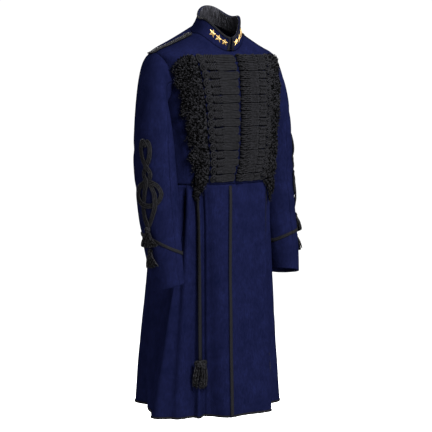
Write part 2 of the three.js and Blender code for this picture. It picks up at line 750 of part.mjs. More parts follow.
// Fringe bands: strands that stand out and fall from a narrow head strip
for (const side of SIDES) {
  const rootX = (z) => {
    const x = readByHeight(CLOSURE, z).x;
    return x + side.sign * (readByHeight(FROG_REACH, z)[side.name] + 1.5);
  };
  const strip = sheet((across, z, lift) => frontPoint(rootX(z) + side.sign * across, z, lift),
    [0, FRINGE_HEAD], steps(FROG_TOP, FROG_BOTTOM, 16), SEAT + 2.4, SEAT);
  const parts = [strip];
  for (let k = 0; k < FRINGE_STRANDS; k += 1) {
    const z = FROG_TOP - 4 + ((FROG_BOTTOM + 8 - FROG_TOP) * k) / (FRINGE_STRANDS - 1);
    const row = readByHeight(FRINGE, z);
    const stray = Math.sin(k * 2.4) * 3;
    const path = [
      [FRINGE_HEAD * 0.3, 0, 1.3],
      [FRINGE_HEAD + row[side.name] * 0.42, -row.fall * 0.22, 7 + stray * 0.3],
      [FRINGE_HEAD + row[side.name] + stray, -row.fall, 9],
    ];
    const root = frontPlace(rootX(z), z).turn;
    const at = ([across, fall, lift]) => {
      const turn = root + (side.sign * across) / 150 / TURN;
      if (z + fall < SKIRT_TOP) return liftedSkirt(turn, z + fall, lift);
      return lifted(bodice, turn, rowAt(turn, z + fall), lift);
    };
    const points = path.map(at);
    const outs = path.map((row3) => at([row3[0], row3[1], row3[2] + 5]).sub(at(row3)));
    parts.push(cord(points, STRAND_WIDE, STRAND_WIDE * 0.9, 3, outs));
  }
  const clear = ['front', 'sleeve', 'skirt_front'].map((part) => carriers[`${part}_${side.name}`]);
  place(`fringe_${side.name}`, seated(joined(parts), clear), CORD());
}

// Front edge braid of the left skirt, hem bindings
{
  const edge = (across, z, lift) => liftedSkirt(skirtTurn(readByHeight(FRONT_EDGE, z).x + 0.6 + across, z), z, lift);
  const zs = steps(SKIRT_TOP - 3, SKIRT_HEM + 1, 12);
  const band = sheet(edge, [0, BRAID_WIDE], zs, SEAT + BRAID_THICK, SEAT);
  place('front_braid', seated(band, [carriers.skirt_front_left]), MOHAIR());
}

// Side braids run down the skirt fronts to a tassel
const SIDE_BRAID = [
  { z: -408, turn: 38 },
  { z: -600, turn: 37 },
  { z: -890, turn: 35 },
];
const SIDE_BRAID_END = -873;

function sidePoint(side, across, z, lift) {
  const turn = readByHeight(SIDE_BRAID, z).turn;
  return liftedSkirt(side * (turn + across / 155 / TURN), z, lift);
}

for (const side of SIDES) {
  const strip = (across, z, lift) => sidePoint(side.sign, across, z, lift);
  const zs = steps(SKIRT_TOP - 4, SIDE_BRAID_END, 10);
  const band = sheet(strip, [-4, 4], zs, SEAT + 1.9, SEAT);
  place(`side_braid_${side.name}`, seated(band, [carriers[`skirt_front_${side.name}`]]), MOHAIR());
}

// Tassel: a rounded flat head with strands that fall from it
function tassel(at, head, long, spread, count) {
  const out = (a, z) => at(a, z, 12).sub(at(a, z, 6)).normalize();
  const headPath = [
    [0, 0, 0.5],
    [0, -head * 0.25, 1],
    [0, -head * 0.55, 1],
    [0, -head * 0.8, 0.8],
  ];
  const rings = headPath.map(([a, z, size]) => {
    const middle = at(a, z, head * 0.34);
    const normal = out(a, z);
    const across = at(a + 4, z, 6).sub(at(a - 4, z, 6)).normalize();
    return Array.from({ length: 6 }, (_, k) => {
      const turn = (2 * Math.PI * k) / 6;
      return middle.clone()
        .addScaledVector(across, head * 0.5 * size * Math.cos(turn))
        .addScaledVector(normal, head * 0.4 * size * Math.sin(turn));
    });
  });
  const parts = [ringsSolid(rings)];
  for (let k = 0; k < count; k += 1) {
    const lean = (2 * k) / (count - 1) - 1;
    const near = k % 2;
    const root = head * 0.3 * lean;
    const lift = SEAT + head * (near ? 0.32 : 0.54);
    const path = [
      [root, -head * 0.5, SEAT + head * (near ? 0.36 : 0.5)],
      [root + lean * spread * 0.5, -head * 0.8 - long * 0.35, lift + (near ? 0.4 : 1.5)],
      [root + lean * spread, -head * 0.8 - long * (1 - 0.1 * lean * lean), lift],
    ];
    const points = path.map(([a, z, l]) => at(a, z, l));
    const outs = path.map(([a, z]) => out(a, z));
    parts.push(cord(points, 2.3, 2.1, 3, outs));
  }
  return joined(parts);
}

for (const side of SIDES) {
  const at = (across, fall, lift) => sidePoint(side.sign, across, SIDE_BRAID_END - SEAM + fall, lift);
  const solid = tassel(at, 23, 55, 10, SKIRT_TASSEL_STRANDS);
  place(`skirt_tassel_${side.name}`, seated(solid, [carriers[`skirt_front_${side.name}`]]), CORD());
}

// Hem bindings
for (const side of SIDES) {
  const hem = (from, to, step) => (share, up, lift) => {
    const z = SKIRT_HEM + step + 1 + up;
    return liftedSkirt(from(z) + (to(z) - from(z)) * share, z, lift);
  };
  const start = (z) => skirtTurn(readByHeight(FRONT_EDGE, z).x + (side.sign > 0 ? BRAID_WIDE + 1.6 : -1), z);
  const seamBefore = (z) => side.sign * (seamTurnAt(z) - 0.3);
  const seamAfter = (z) => side.sign * (seamTurnAt(z) + 0.3);
  const front = sheet(hem(start, seamBefore, 0), steps(0, 1, 12), [0, BINDING_WIDE], SEAT + 1.3, SEAT);
  place(`hem_front_${side.name}`, seated(front, [carriers[`skirt_front_${side.name}`]]), MOHAIR());
  const end = () => side.sign * 179.6;
  const back = sheet(hem(seamAfter, end, HEM_STEP), steps(0, 1, 14), [0, BINDING_WIDE], SEAT + 1.3, SEAT);
  place(`hem_back_${side.name}`, seated(back, [carriers[`skirt_back_${side.name}`]]), MOHAIR());
}

// Cuff braids: a band round the sleeve end, lowest on the inner side
const CUFF_BAND = {
  right: { z: -546, slant: 28, lowest: -60 },
  left: { z: -559, slant: 22, lowest: -115 },
};

for (const side of SIDES) {
  const line = CUFF_BAND[side.name];
  const band = (turn, across, lift) => {
    const z = line.z - line.slant * Math.cos((turn - line.lowest) * TURN) - across;
    const row = sleeveRowAt(z - cuffTilt(turn, sleeveRowAt(z)));
    return sleeveLifted(side.sign, turn, row, lift);
  };
  const ring = sheet(band, SLEEVE_TURNS, [0, 9], SEAT + 2, SEAT, true);
  carriers[`cuff_${side.name}`] = toManifold(sheet(band, SLEEVE_TURNS, [-SEAM, 9 + SEAM],
    SEAT + 2 + SEAM, SEAT, true));
  place(`cuff_braid_${side.name}`, seated(ring, [carriers[`sleeve_${side.name}`]]), MOHAIR());
}

// Sleeve knots: a doubled cord with a large ring, a crossing and two small top loops
const KNOT_HALF = [
  { a: 0, z: -499 },
  { a: 12, z: -474 },
  { a: 19, z: -450 },
  { a: 15, z: -418 },
  { a: 4, z: -390 },
  { a: 11, z: -371 },
  { a: 0, z: -353 },
  { a: -13, z: -334 },
  { a: -15, z: -313 },
  { a: -7, z: -300 },
  { a: 2, z: -308 },
];
const KNOT_RING = { a: 38, z: -419, tall: 31 };
const KNOT_WIDE = 6.5;
const KNOT_THICK = 3;

function knotCord(side, rows) {
  const lift = SEAT + KNOT_THICK / 2 + 0.35;
  const points = rows.map((row) => knotPoint(side, row.a, row.z, lift));
  const outs = rows.map((row) => knotOut(side, row.a, row.z));
  return cord(points, KNOT_WIDE * 1.3, KNOT_THICK * 1.3, 4, outs);
}

for (const side of SIDES) {
  const mirrored = KNOT_HALF.map((row) => ({ a: -row.a, z: row.z }));
  const ring = steps(0, 360, 12).map((turn) => ({
    a: KNOT_RING.a * Math.cos(turn * TURN),
    z: KNOT_RING.z + KNOT_RING.tall * Math.sin(turn * TURN),
  }));
  const knot = joined([KNOT_HALF, mirrored, ring.slice(0, 8), ring.slice(6, 13)]
    .map((rows) => knotCord(side.sign, rows)));
  const clear = [carriers[`sleeve_${side.name}`]];
  place(`sleeve_knot_${side.name}`, seated(knot, clear), CORD());
  const overBraid = [...clear, carriers[`cuff_${side.name}`]];
  const upper = (across, fall, lift) => knotPoint(side.sign, across, -506 + fall, lift);
  const first = tassel(upper, 15, 36, 18, SLEEVE_TASSEL_STRANDS);
  place(`sleeve_tassel_upper_${side.name}`, seated(first, overBraid), CORD());
  const lower = (across, fall, lift) => knotPoint(side.sign, across + 1, -556 + fall, lift);
  const second = tassel(lower, 14, 36, 14, SLEEVE_TASSEL_STRANDS);
  place(`sleeve_tassel_lower_${side.name}`, seated(second, overBraid), CORD());
}

// Shoulder straps lie on the bodice and reach over the sleeve head
const STRAP_TOP = 3.2;
for (const side of SIDES) {
  const sleeveGrid = steps(0, 180, 30).map((turn) => steps(0, 0.3, 16).map((v) => {
    const p = sleeve(side.sign, turn, v);
    return new THREE.Vector3(Math.abs(p.x), p.y, p.z);
  }));
  const seat = (x, y) => reachOn([SIDE_GRID, sleeveGrid], 'z', x, y);
  const strap = (along, across, lift) => {
    const x = 84 + along * 112;
    const y = -26 + 24 * along + across * (12 - 1.5 * along);
    let z = -Infinity;
    for (const dx of [-4, 0, 4]) {
      for (const dy of [-4, 0, 4]) z = Math.max(z, seat(x + dx, y + dy));
    }
    return new THREE.Vector3(side.sign * x, y, z + 0.3 + lift);
  };
  const band = sheet(strap, steps(0, 1, 9), [-1, 0, 1], (i, j) => STRAP_TOP - (j === 1 ? 0.8 : 0), 0);
  const clear = [carriers[`front_${side.name}`], carriers.back, carriers[`sleeve_${side.name}`]];
  place(`shoulder_strap_${side.name}`, seated(band, clear), MOHAIR());
}

export default group;
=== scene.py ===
"""A long frogged cavalry frock coat in navy wool, dressed over its fixed frame.

Metres, +Z up. The coat's front faces -Y, the wearer's right is -X, and the origin lies between the shoulders.
"""
from __future__ import annotations

import logging
import math
from dataclasses import dataclass, field
from enum import Enum
from typing import Callable, Sequence

import bmesh
import bpy
import numpy as np
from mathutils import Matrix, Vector
from mathutils.bvhtree import BVHTree

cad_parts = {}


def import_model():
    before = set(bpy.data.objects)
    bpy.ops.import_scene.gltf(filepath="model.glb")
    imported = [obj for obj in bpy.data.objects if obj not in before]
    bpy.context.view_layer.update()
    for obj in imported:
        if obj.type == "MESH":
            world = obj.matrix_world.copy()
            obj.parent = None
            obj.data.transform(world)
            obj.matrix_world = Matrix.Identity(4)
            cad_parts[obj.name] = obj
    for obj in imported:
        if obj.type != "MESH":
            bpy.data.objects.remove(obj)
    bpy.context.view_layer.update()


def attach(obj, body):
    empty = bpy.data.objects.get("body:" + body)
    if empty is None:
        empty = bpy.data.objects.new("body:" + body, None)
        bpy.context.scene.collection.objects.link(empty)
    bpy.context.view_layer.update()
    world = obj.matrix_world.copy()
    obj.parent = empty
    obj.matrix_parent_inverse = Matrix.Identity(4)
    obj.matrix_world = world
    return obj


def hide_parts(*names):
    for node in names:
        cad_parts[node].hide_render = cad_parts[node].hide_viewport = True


LOG = logging.getLogger("cavalry_uniform")
MM = 0.001
ROOT = "root"

Array = np.ndarray
Mapping = Callable[[Array, Array], Array]


class Side(Enum):
    """The wearer's right and left."""

    RIGHT = -1
    LEFT = 1

    @property
    def word(self) -> str:
        """The side's word in names."""
        return self.name.lower()

    @property
    def sign(self) -> int:
        """The side's direction along X."""
        return self.value


# ---------------------------------------------------------------- tables


def blend_four(f: Array, p0: Array, p1: Array, p2: Array, p3: Array) -> Array:
    """Run a smooth curve through four neighbours and read it at f between the middle two."""
    m1, m2 = (p2 - p0) / 2, (p3 - p1) / 2
    out = (2 * f**3 - 3 * f**2 + 1) * p1 + (f**3 - 2 * f**2 + f) * m1
    return out + (3 * f**2 - 2 * f**3) * p2 + (f**3 - f**2) * m2


def sin_cos(turn: Array) -> tuple[Array, Array]:
    """Give the sine and cosine of turns in degrees."""
    return np.sin(np.radians(turn)), np.cos(np.radians(turn))


class Rows:
    """A table with named columns that is read smoothly along its length."""

    def __init__(self, columns: str, rows: Sequence[Sequence[float]]) -> None:
        """Keep the rows.

        Args:
            columns: The columns' names, spaced.
            rows: One row of numbers for each station.
        """
        self.names = columns.split()
        self.values = np.array(rows, float)

    def read(self, place: Array) -> dict[str, Array]:
        """Read every column at places from 0 to 1 along the table.

        Args:
            place: Fractions of the table's length.

        Returns:
            The columns by name.
        """
        last = len(self.values) - 1
        at = np.clip(np.asarray(place, float), 0, 1) * last
        i = np.minimum(np.floor(at).astype(int), last - 1)
        f = (at - i)[..., None]
        v = self.values
        p1, p2 = v[i], v[i + 1]
        p0 = np.where((i > 0)[..., None], v[np.maximum(i - 1, 0)], 2 * p1 - p2)
        p3 = np.where((i + 2 <= last)[..., None], v[np.minimum(i + 2, last)], 2 * p2 - p1)
        out = blend_four(f, p0, p1, p2, p3)
        return {name: out[..., k] for k, name in enumerate(self.names)}

    def by_height(self, z: Array, column: str) -> Array:
        """Read a column straight between rows at heights, the first column being z, downwards.

        Args:
            z: Heights in millimetres.
            column: The column's name.

        Returns:
            The column's values.
        """
        k = self.names.index(column)
        return np.interp(-np.asarray(z, float), -self.values[:, 0], self.values[:, k])


# Bodice rings from the waist seam to the neck, in millimetres
BODICE = Rows("zs zf zb yc a bf bb n", [
    (-402, -404, -402, 0, 171, 127, 112, 2.6),
    (-345, -346, -345, 0, 169, 134, 116, 2.8),
    (-275, -277, -275, 0, 171, 138, 123, 2.9),
    (-205, -208, -205, 0, 175, 139, 127, 3.0),
    (-142, -147, -138, 0, 179, 136, 125, 2.9),
    (-96, -108, -88, -1, 184, 130, 116, 2.7),
    (-64, -86, -52, -4, 187, 121, 103, 2.6),
    (-50, -75, -29, -9, 174, 110, 92, 2.5),
    (-37, -68, -9, -17, 143, 96, 82, 2.4),
    (-21, -61, 10, -27, 107, 80, 73, 2.3),
    (-5, -53, 26, -36, 72, 58, 65, 2.1),
])
COLLAR = Rows("zs zf zb yc a bf bb n", [
    (-4.6, -52.6, 26.4, -36, 72, 58, 65, 2.1),
    (11, -38, 42, -40, 64, 56, 59, 2.05),
    (27, -25, 58, -43, 58, 55, 55, 2.0),
    (36, -16, 71, -45, 54, 54, 53, 2.0),
])
SKIRT = Rows("z a bf bb n", [
    (-404.4, 171, 127, 112, 2.6),
    (-440, 170, 127, 124, 2.5),
    (-500, 170, 129, 138, 2.4),
    (-600, 173, 132, 152, 2.4),
    (-700, 178, 136, 165, 2.4),
    (-860, 190, 143, 184, 2.3),
    (-960, 198, 150, 190, 2.3),
    (-1030, 203, 154, 193, 2.3),
])
SLEEVE = Rows("xo zo xi zi r right left", [
    (183, -56, 183, -208, 64, -4, -4),
    (195, -60, 186.5, -215, 64, -10, -4),
    (211, -80, 188, -224, 64, -21, -2),
    (231, -122, 188, -235, 65, -35, 2),
    (250, -182, 186.5, -256, 67, -50, 7),
    (265, -252, 184.5, -294, 68, -61, 12),
    (275, -325, 183, -342, 68, -70, 15),
    (277, -400, 182, -400, 66, -79, 12),
    (276, -480, 183, -472, 63, -90, 0),
    (271, -560, 185, -550, 57, -104, -20),
    (265, -618, 187, -612, 52, -117, -36),
    (259, -668, 189, -660, 48, -128, -48),
])
# Skirt folds: turn at waist and hem, half width in degrees, push at waist and hem in millimetres
FOLDS = Rows("top hem wide waist push", [
    (-48, -80, 12, 5, 14),
    (-41, -44, 8, -9, -24),
    (-24, -22, 9, -2, -26),
    (-9, -9, 8, 2, 8),
    (44, 19, 12, 5, 13),
    (57, 44, 12, -8, -60),
    (74, 92, 13, 5, 38),
    (112, 118, 11, -4, -24),
    (138, 142, 12, 4, 20),
    (166, 164, 9, -7, -16),
    (195, 198, 9, -7, -18),
    (221, 220, 12, 4, 18),
    (247, 244, 11, -4, -22),
    (242, 236, 28, -8, -14),
])
# Finer pleats that start at the waist seam: turn and half width at waist and hem, push at waist and hem
GATHERS = Rows("top hem wide waist push", [
    (-41.5, -41, 2.0, -10.0, -5.0),
    (-47, -56, 3.4, 7.5, 4.0),
    (-54.5, -64, 3.0, -10.0, -4.0),
    (-61, -73, 3.0, 6.0, 3.0),
    (-48, -80, 5.0, 1.0, 9.0),
    (-58, -92, 6.0, -2.0, -13.0),
    (-68, -104, 4.0, -4.0, -8.0),
    (-35, -34.5, 2.2, 2.0, 4.0),
    (-32.0, -31.2, 2.0, -14.0, -22.0),
    (-28.0, -26.5, 3.6, -7.0, -13.0),
    (-18, -16, 4.0, 1.5, 5.0),
    (-8, -4, 5.0, 0.0, -4.0),
    (31, 24, 3.0, 2.0, 6.0),
    (40, 31, 3.0, -5.0, -11.0),
    (54, 44, 4.0, -3.0, 4.0),
    (64, 58, 2.6, -4.0, -6.0),
    (70, 70, 2.8, 4.0, 5.0),
    (84, 96, 4.0, -3.5, -5.0),
    (-88, -118, 4.0, -2.5, -5.5),
    (-112, -130, 4.0, 3.5, 5.0),
    (132, 136, 4.5, -3.0, -5.0),
    (-140, -146, 4.5, -3.0, -5.0),
    (152, 155, 4.0, 3.0, 4.0),
    (-156, -158, 4.0, 3.0, 4.0),
    (172, 173, 3.0, 3.5, 5.0),
    (-172, -173, 3.0, 3.5, 5.0),
])
FROG_REACH = Rows("z right left", [
    (-60, 122, 114),
    (-110, 112, 110),
    (-200, 103, 106),
    (-290, 96, 102),
    (-400, 76, 100),
])
FRINGE_REACH = Rows("z right left fall", [
    (-60, 58, 58, 34),
    (-120, 57, 58, 42),
    (-200, 50, 55, 46),
    (-250, 46, 54, 46),
    (-330, 37, 52, 46),
    (-400, 27, 48, 46),
])
KNOT_LEAN = Rows("z a", [(-300, 12), (-420, 2.5), (-500, 15), (-600, 18)])
CLOSURE = Rows("z x", [(-50, 0), (-330, 0), (-405, -13)])
FRONT_EDGE = Rows("z x", [(-400, -29), (-1035, -44)])
SIDE_BRAID = Rows("z turn", [(-408, 38), (-600, 37), (-890, 35)])

# Millimetres for each radian of turn, for creases and for what is laid at a distance from a line
BODICE_ROUND = 150
SLEEVE_ROUND = 60
SKIRT_ROUND = 155
COLLAR_ROUND = 56
COLLAR_TALL = 42
SIDE_END = -873.0

BACK_SQUARE = 2.3
SKIRT_TOP = -404.7
SKIRT_HEM = -1030.0
HEM_STEP = 6.0
FOLD_GROWTH = 1.6
FRONT_LAP = 16.0
LAP_RISE = 2.8
RIM_RISE = 9.0
CUFF_TILT = 10.0
CUFF_TILT_TURN = 18.0
FROG_TOP = -63.0
FROG_BOTTOM = -397.0
FROG_PAIRS = 8
FROG_SEAT = 0.6
SEAT = 0.35


# ---------------------------------------------------------------- forms


def signed_power(value: Array, power: Array | float) -> Array:
    """Raise a value's size to a power and keep its sign."""
    return np.sign(value) * np.abs(value) ** power


def ring_xy(row: dict[str, Array], turn: Array, middle: Array | float) -> tuple[Array, Array]:
    """Give a ring's point at a turn, 0 at the front and 90 at the wearer's left.

    Args:
        row: The ring's sizes.
        turn: Turns in degrees.
        middle: The ring's middle along Y.

    Returns:
        X and Y in millimetres.
    """
    s, c = sin_cos(turn)
    square = np.where(c > 0, row["n"], BACK_SQUARE)
    depth = np.where(c > 0, row["bf"], row["bb"])
    x = row["a"] * signed_power(s, 2 / square)
    y = middle - depth * signed_power(c, 2 / (square * 0.5 + 1.15))
    return x, y


def tilted(table: Rows, turn: Array, v: Array) -> Array:
    """Give points on a stack of tilted rings.

    Args:
        table: The rings.
        turn: Turns in degrees.
        v: Places along the stack.

    Returns:
        Points in millimetres.
    """
    row = table.read(v)
    x, y = ring_xy(row, turn, row["yc"])
    c = np.cos(np.radians(turn))
    z = row["zs"] + (np.where(c > 0, row["zf"], row["zb"]) - row["zs"]) * c * c
    return np.stack([x, y, z], -1)


@dataclass(frozen=True)
class Crease:
    """A soft crease from one place to another, with its half width and depth in millimetres."""

    turn0: float
    z0: float
    turn1: float
    z1: float
    wide: float
    depth: float


def creased(creases: Sequence[Crease], turn: Array, z: Array, radius: float) -> Array:
    """Add up creases over a surface that is about a given radius round.

    Args:
        creases: The creases.
        turn: Turns in degrees.
        z: Heights in millimetres.
        radius: Millimetres for each radian of turn.

    Returns:
        The push along the normal in millimetres.
    """
    total = np.zeros(np.broadcast(turn, z).shape)
    for crease in creases:
        ax, ay = np.radians(crease.turn0) * radius, crease.z0
        bx, by = np.radians(crease.turn1) * radius, crease.z1
        px, py = np.radians(turn) * radius, z
        long2 = (bx - ax) ** 2 + (by - ay) ** 2
        f = np.clip(((px - ax) * (bx - ax) + (py - ay) * (by - ay)) / long2, 0, 1)
        away = np.hypot(px - ax - f * (bx - ax), py - ay - f * (by - ay))
        fade = np.sin(np.pi * np.clip(0.12 + 0.76 * f, 0, 1))
        total = total + crease.depth * fade * np.exp(-((away / crease.wide) ** 2))
    return total


def ripple(turn: Array, z: Array, seed: float, size: float) -> Array:
    """A gentle uneven swell made of a few slanting waves.

    Args:
        turn: Turns in degrees.
        z: Heights in millimetres.
        seed: A number that shifts the waves.
        size: The swell's height in millimetres.

    Returns:
        The push in millimetres.
    """
    a, h = np.radians(turn), z / 100.0
    waves = np.sin(3.1 * a + 1.3 * h + seed) + 0.7 * np.sin(7.3 * a - 0.9 * h + 2.1 * seed)
    waves = waves + 0.5 * np.sin(12.7 * a + 2.2 * h + 3.7 * seed) + 0.4 * np.sin(4.0 * h + 5.0 * a + seed)
    return size * waves / 2.6


class Form:
    """A surface with turns and heights or fractions, in millimetres."""

    step = (0.4, 0.003)

    def point(self, u: Array, v: Array) -> Array:
        """Give the surface's points."""
        raise NotImplementedError

    def clip(self, v: Array) -> Array:
        """Keep v where the normal can be measured."""
        return np.clip(v, 0.004, 0.996)

    def normal(self, u: Array, v: Array) -> Array:
        """Give the outward normals."""
        du, dv = self.step
        w = self.clip(v)
        pu = self.point(u + du, w) - self.point(u - du, w)
        pv = self.point(u, w + dv) - self.point(u, w - dv)
        n = np.cross(pu, pv)
        return n / np.maximum(np.linalg.norm(n, axis=-1, keepdims=True), 1e-9)

    def lifted(self, u: Array, v: Array, lift: Array | float) -> Array:
        """Give points moved out along the normal.

        Args:
            u: Turns in degrees.
            v: Fractions or heights.
            lift: Millimetres outwards.

        Returns:
            Points in millimetres.
        """
        u, v = np.broadcast_arrays(np.asarray(u, float), np.asarray(v, float))
        far = np.broadcast_to(np.asarray(lift, float), u.shape)
        return self.point(u, v) + self.normal(u, v) * far[..., None]


BODICE_CREASES = (
    Crease(62, -215, 40, -300, 10, -1.6),
    Crease(-62, -215, -38, -290, 10, -1.8),
    Crease(66, -230, 58, -390, 11, -1.8),
    Crease(-68, -230, -56, -390, 11, -2.0),
    Crease(60, -70, 44, -60, 9, -1.2),
    Crease(-60, -70, -42, -60, 9, -1.4),
    Crease(120, -220, 150, -300, 13, -1.8),
    Crease(240, -220, 208, -310, 13, -1.8),
    Crease(180, -40, 180, -390, 8, -1.2),
    Crease(150, -60, 122, -120, 12, -1.4),
    Crease(210, -60, 238, -125, 12, -1.4),
)


class BodiceForm(Form):
    """The bodice's outside."""

    def point(self, u: Array, v: Array) -> Array:
        """Give the bodice's points with its soft creases."""
        p = tilted(BODICE, u, v)
        push = creased(BODICE_CREASES, np.mod(u, 360.0), p[..., 2], BODICE_ROUND)
        push = push + creased(BODICE_CREASES, u, p[..., 2], BODICE_ROUND) * (u < 0)
        s, c = sin_cos(u)
        fade = np.clip(np.minimum(v, 1 - v) * 8, 0, 1)
        p[..., 0] += push * s * fade
        p[..., 1] -= push * c * fade
        return p

    def row_at(self, turn: Array, z: Array) -> Array:
        """Find the fraction where a turn reaches a height in millimetres."""
        low, high = np.zeros(np.shape(turn)), np.ones(np.shape(turn))
        for _ in range(22):
            mid = (low + high) / 2
            below = tilted(BODICE, turn, mid)[..., 2] < z
            low, high = np.where(below, mid, low), np.where(below, high, mid)
        return (low + high) / 2

    def place(self, x: Array, z: Array) -> tuple[Array, Array]:
        """Find the turn and fraction of a front point.

        Args:
            x: Millimetres from the middle.
            z: Heights in millimetres.

        Returns:
            Turns and fractions.
        """
        x, z = np.broadcast_arrays(np.asarray(x, float), np.asarray(z, float))
        low, high = np.zeros(x.shape), np.ones(x.shape)
        turn = np.zeros(x.shape)
        for _ in range(24):
            mid = (low + high) / 2
            row = BODICE.read(mid)
            share = np.clip(np.abs(x) / row["a"], 0, 0.999)
            turn = np.degrees(np.arcsin(share ** (row["n"] / 2))) * np.sign(x)
            below = tilted(BODICE, turn, mid)[..., 2] < z
            low, high = np.where(below, mid, low), np.where(below, high, mid)
        return turn, (low + high) / 2

    def front(self, x: Array, z: Array, lift: Array | float) -> Array:
        """Give front points moved out by a lift."""
        turn, v = self.place(x, z)
        return self.lifted(turn, v, lift)


class CollarForm(Form):
    """The stand collar's outside."""

    def point(self, u: Array, v: Array) -> Array:
        """Give the collar's points with a slight wave."""
        p = tilted(COLLAR, u, v)
        s, c = sin_cos(u)
        wave = 0.7 * np.sin(np.radians(u) * 5 + 0.6) * np.clip(v, 0, 1)
        p[..., 0] += wave * s
        p[..., 1] -= wave * c
        p[..., 2] += RIM_RISE * v * np.exp(-(((u - 70) / 38) ** 2))
        return p


class SkirtForm(Form):
    """The skirt's outside, read by turn and height in millimetres."""

    step = (0.5, 3.0)

    def clip(self, v: Array) -> Array:
        """Keep the height between the waist seam and the hem."""
        return np.clip(v, SKIRT_HEM + 3, SKIRT_TOP - 3)

    def row(self, z: Array) -> dict[str, Array]:
        """Read the ring at a height."""
        heights = SKIRT.values[:, 0]
        place = np.interp(-z, -heights, np.arange(len(heights)) / (len(heights) - 1))
        return SKIRT.read(place)

    def push(self, u: Array, z: Array) -> Array:
        """Add up folds and pleats."""
        drop = np.clip((SKIRT_TOP - z) / (SKIRT_TOP - SKIRT_HEM), 0, 1)
        start = np.minimum(1, drop * 12)
        total = np.zeros(np.broadcast(u, z).shape)
        for top, hem, wide, waist, far in FOLDS.values:
            away = np.mod(u - (top + (hem - top) * drop) + 180, 360) - 180
            size = waist * start * (1 - drop) + far * drop**FOLD_GROWTH
            total = total + size * np.exp(-((away / wide) ** 2))
        for top, hem, wide, waist, far in GATHERS.values:
            away = np.mod(u - (top + (hem - top) * drop) + 180, 360) - 180
            spread = wide * (1 + 0.7 * drop)
            size = (waist * (1 - drop) + far * drop) * np.minimum(1, drop * 20)
            total = total + size * np.exp(-((away / spread) ** 2))
        return total + ripple(u, z, 0.4, 1.6) * np.minimum(1, drop * 6)

    def point(self, u: Array, v: Array) -> Array:
        """Give the skirt's points."""
        x, y = ring_xy(self.row(v), u, 0.0)
        far = self.push(u, v)
        s, c = sin_cos(u)
        return np.stack([x + far * s, y - far * c, np.broadcast_to(v, x.shape)], -1)

    def turn_at(self, x: Array, z: Array) -> Array:
        """Find the turn of a front point from its distance to the middle."""
        row = self.row(np.asarray(z, float))
        share = np.clip(np.abs(x) / row["a"], 0, 0.999)
        return np.degrees(np.arcsin(share ** (row["n"] / 2))) * np.sign(x)

    @staticmethod
    def seam(z: Array) -> Array:
        """Give the side seam's turn at a height."""
        return 50 + 32 * (SKIRT_TOP - z) / (SKIRT_TOP - SKIRT_HEM)

    def rise(self, side: Side, u: Array, z: Array) -> Array:
        """Give how far the fronts stand out at the lap over the other front."""
        if side is Side.RIGHT:
            return np.zeros(np.broadcast(u, z).shape)
        edge = self.turn_at(FRONT_EDGE.by_height(z, "x"), z)
        near = np.exp(-((u - edge) / 9.0) ** 2)
        return LAP_RISE * near * np.clip((SKIRT_TOP - z) / 30.0, 0, 1)


SLEEVE_CREASES = (
    Crease(10, -250, 75, -215, 12, -2.2),
    Crease(0, -330, 70, -372, 9, -2.6),
    Crease(-10, -372, 55, -404, 8, -2.6),
    Crease(-20, -300, 48, -296, 11, -2.2),
    Crease(-30, -420, 40, -452, 10, -2.2),
    Crease(70, -150, 110, -260, 14, -2.0),
    Crease(100, -330, 165, -300, 12, -2.2),
    Crease(110, -420, 175, -385, 11, -2.4),
    Crease(20, -120, 50, -190, 13, -1.8),
    Crease(40, -560, 95, -520, 10, -1.6),
    Crease(120, -500, 170, -560, 12, -1.6),
    Crease(180, -200, 200, -330, 12, -2.2),
)
ARM = dict(zip(SLEEVE.names, SLEEVE.values[0]))
ARM_Z = (ARM["zo"] + ARM["zi"]) / 2
ARM_TALL = (ARM["zo"] - ARM["zi"]) / 2
# The armhole's ease in millimetres; how far out it lies and how far a cut reaches round it, in metres
ARM_EASE = 0.4
ARM_X = 0.1
ARM_NEAR = 0.02
KNOT_TURN = 61.0


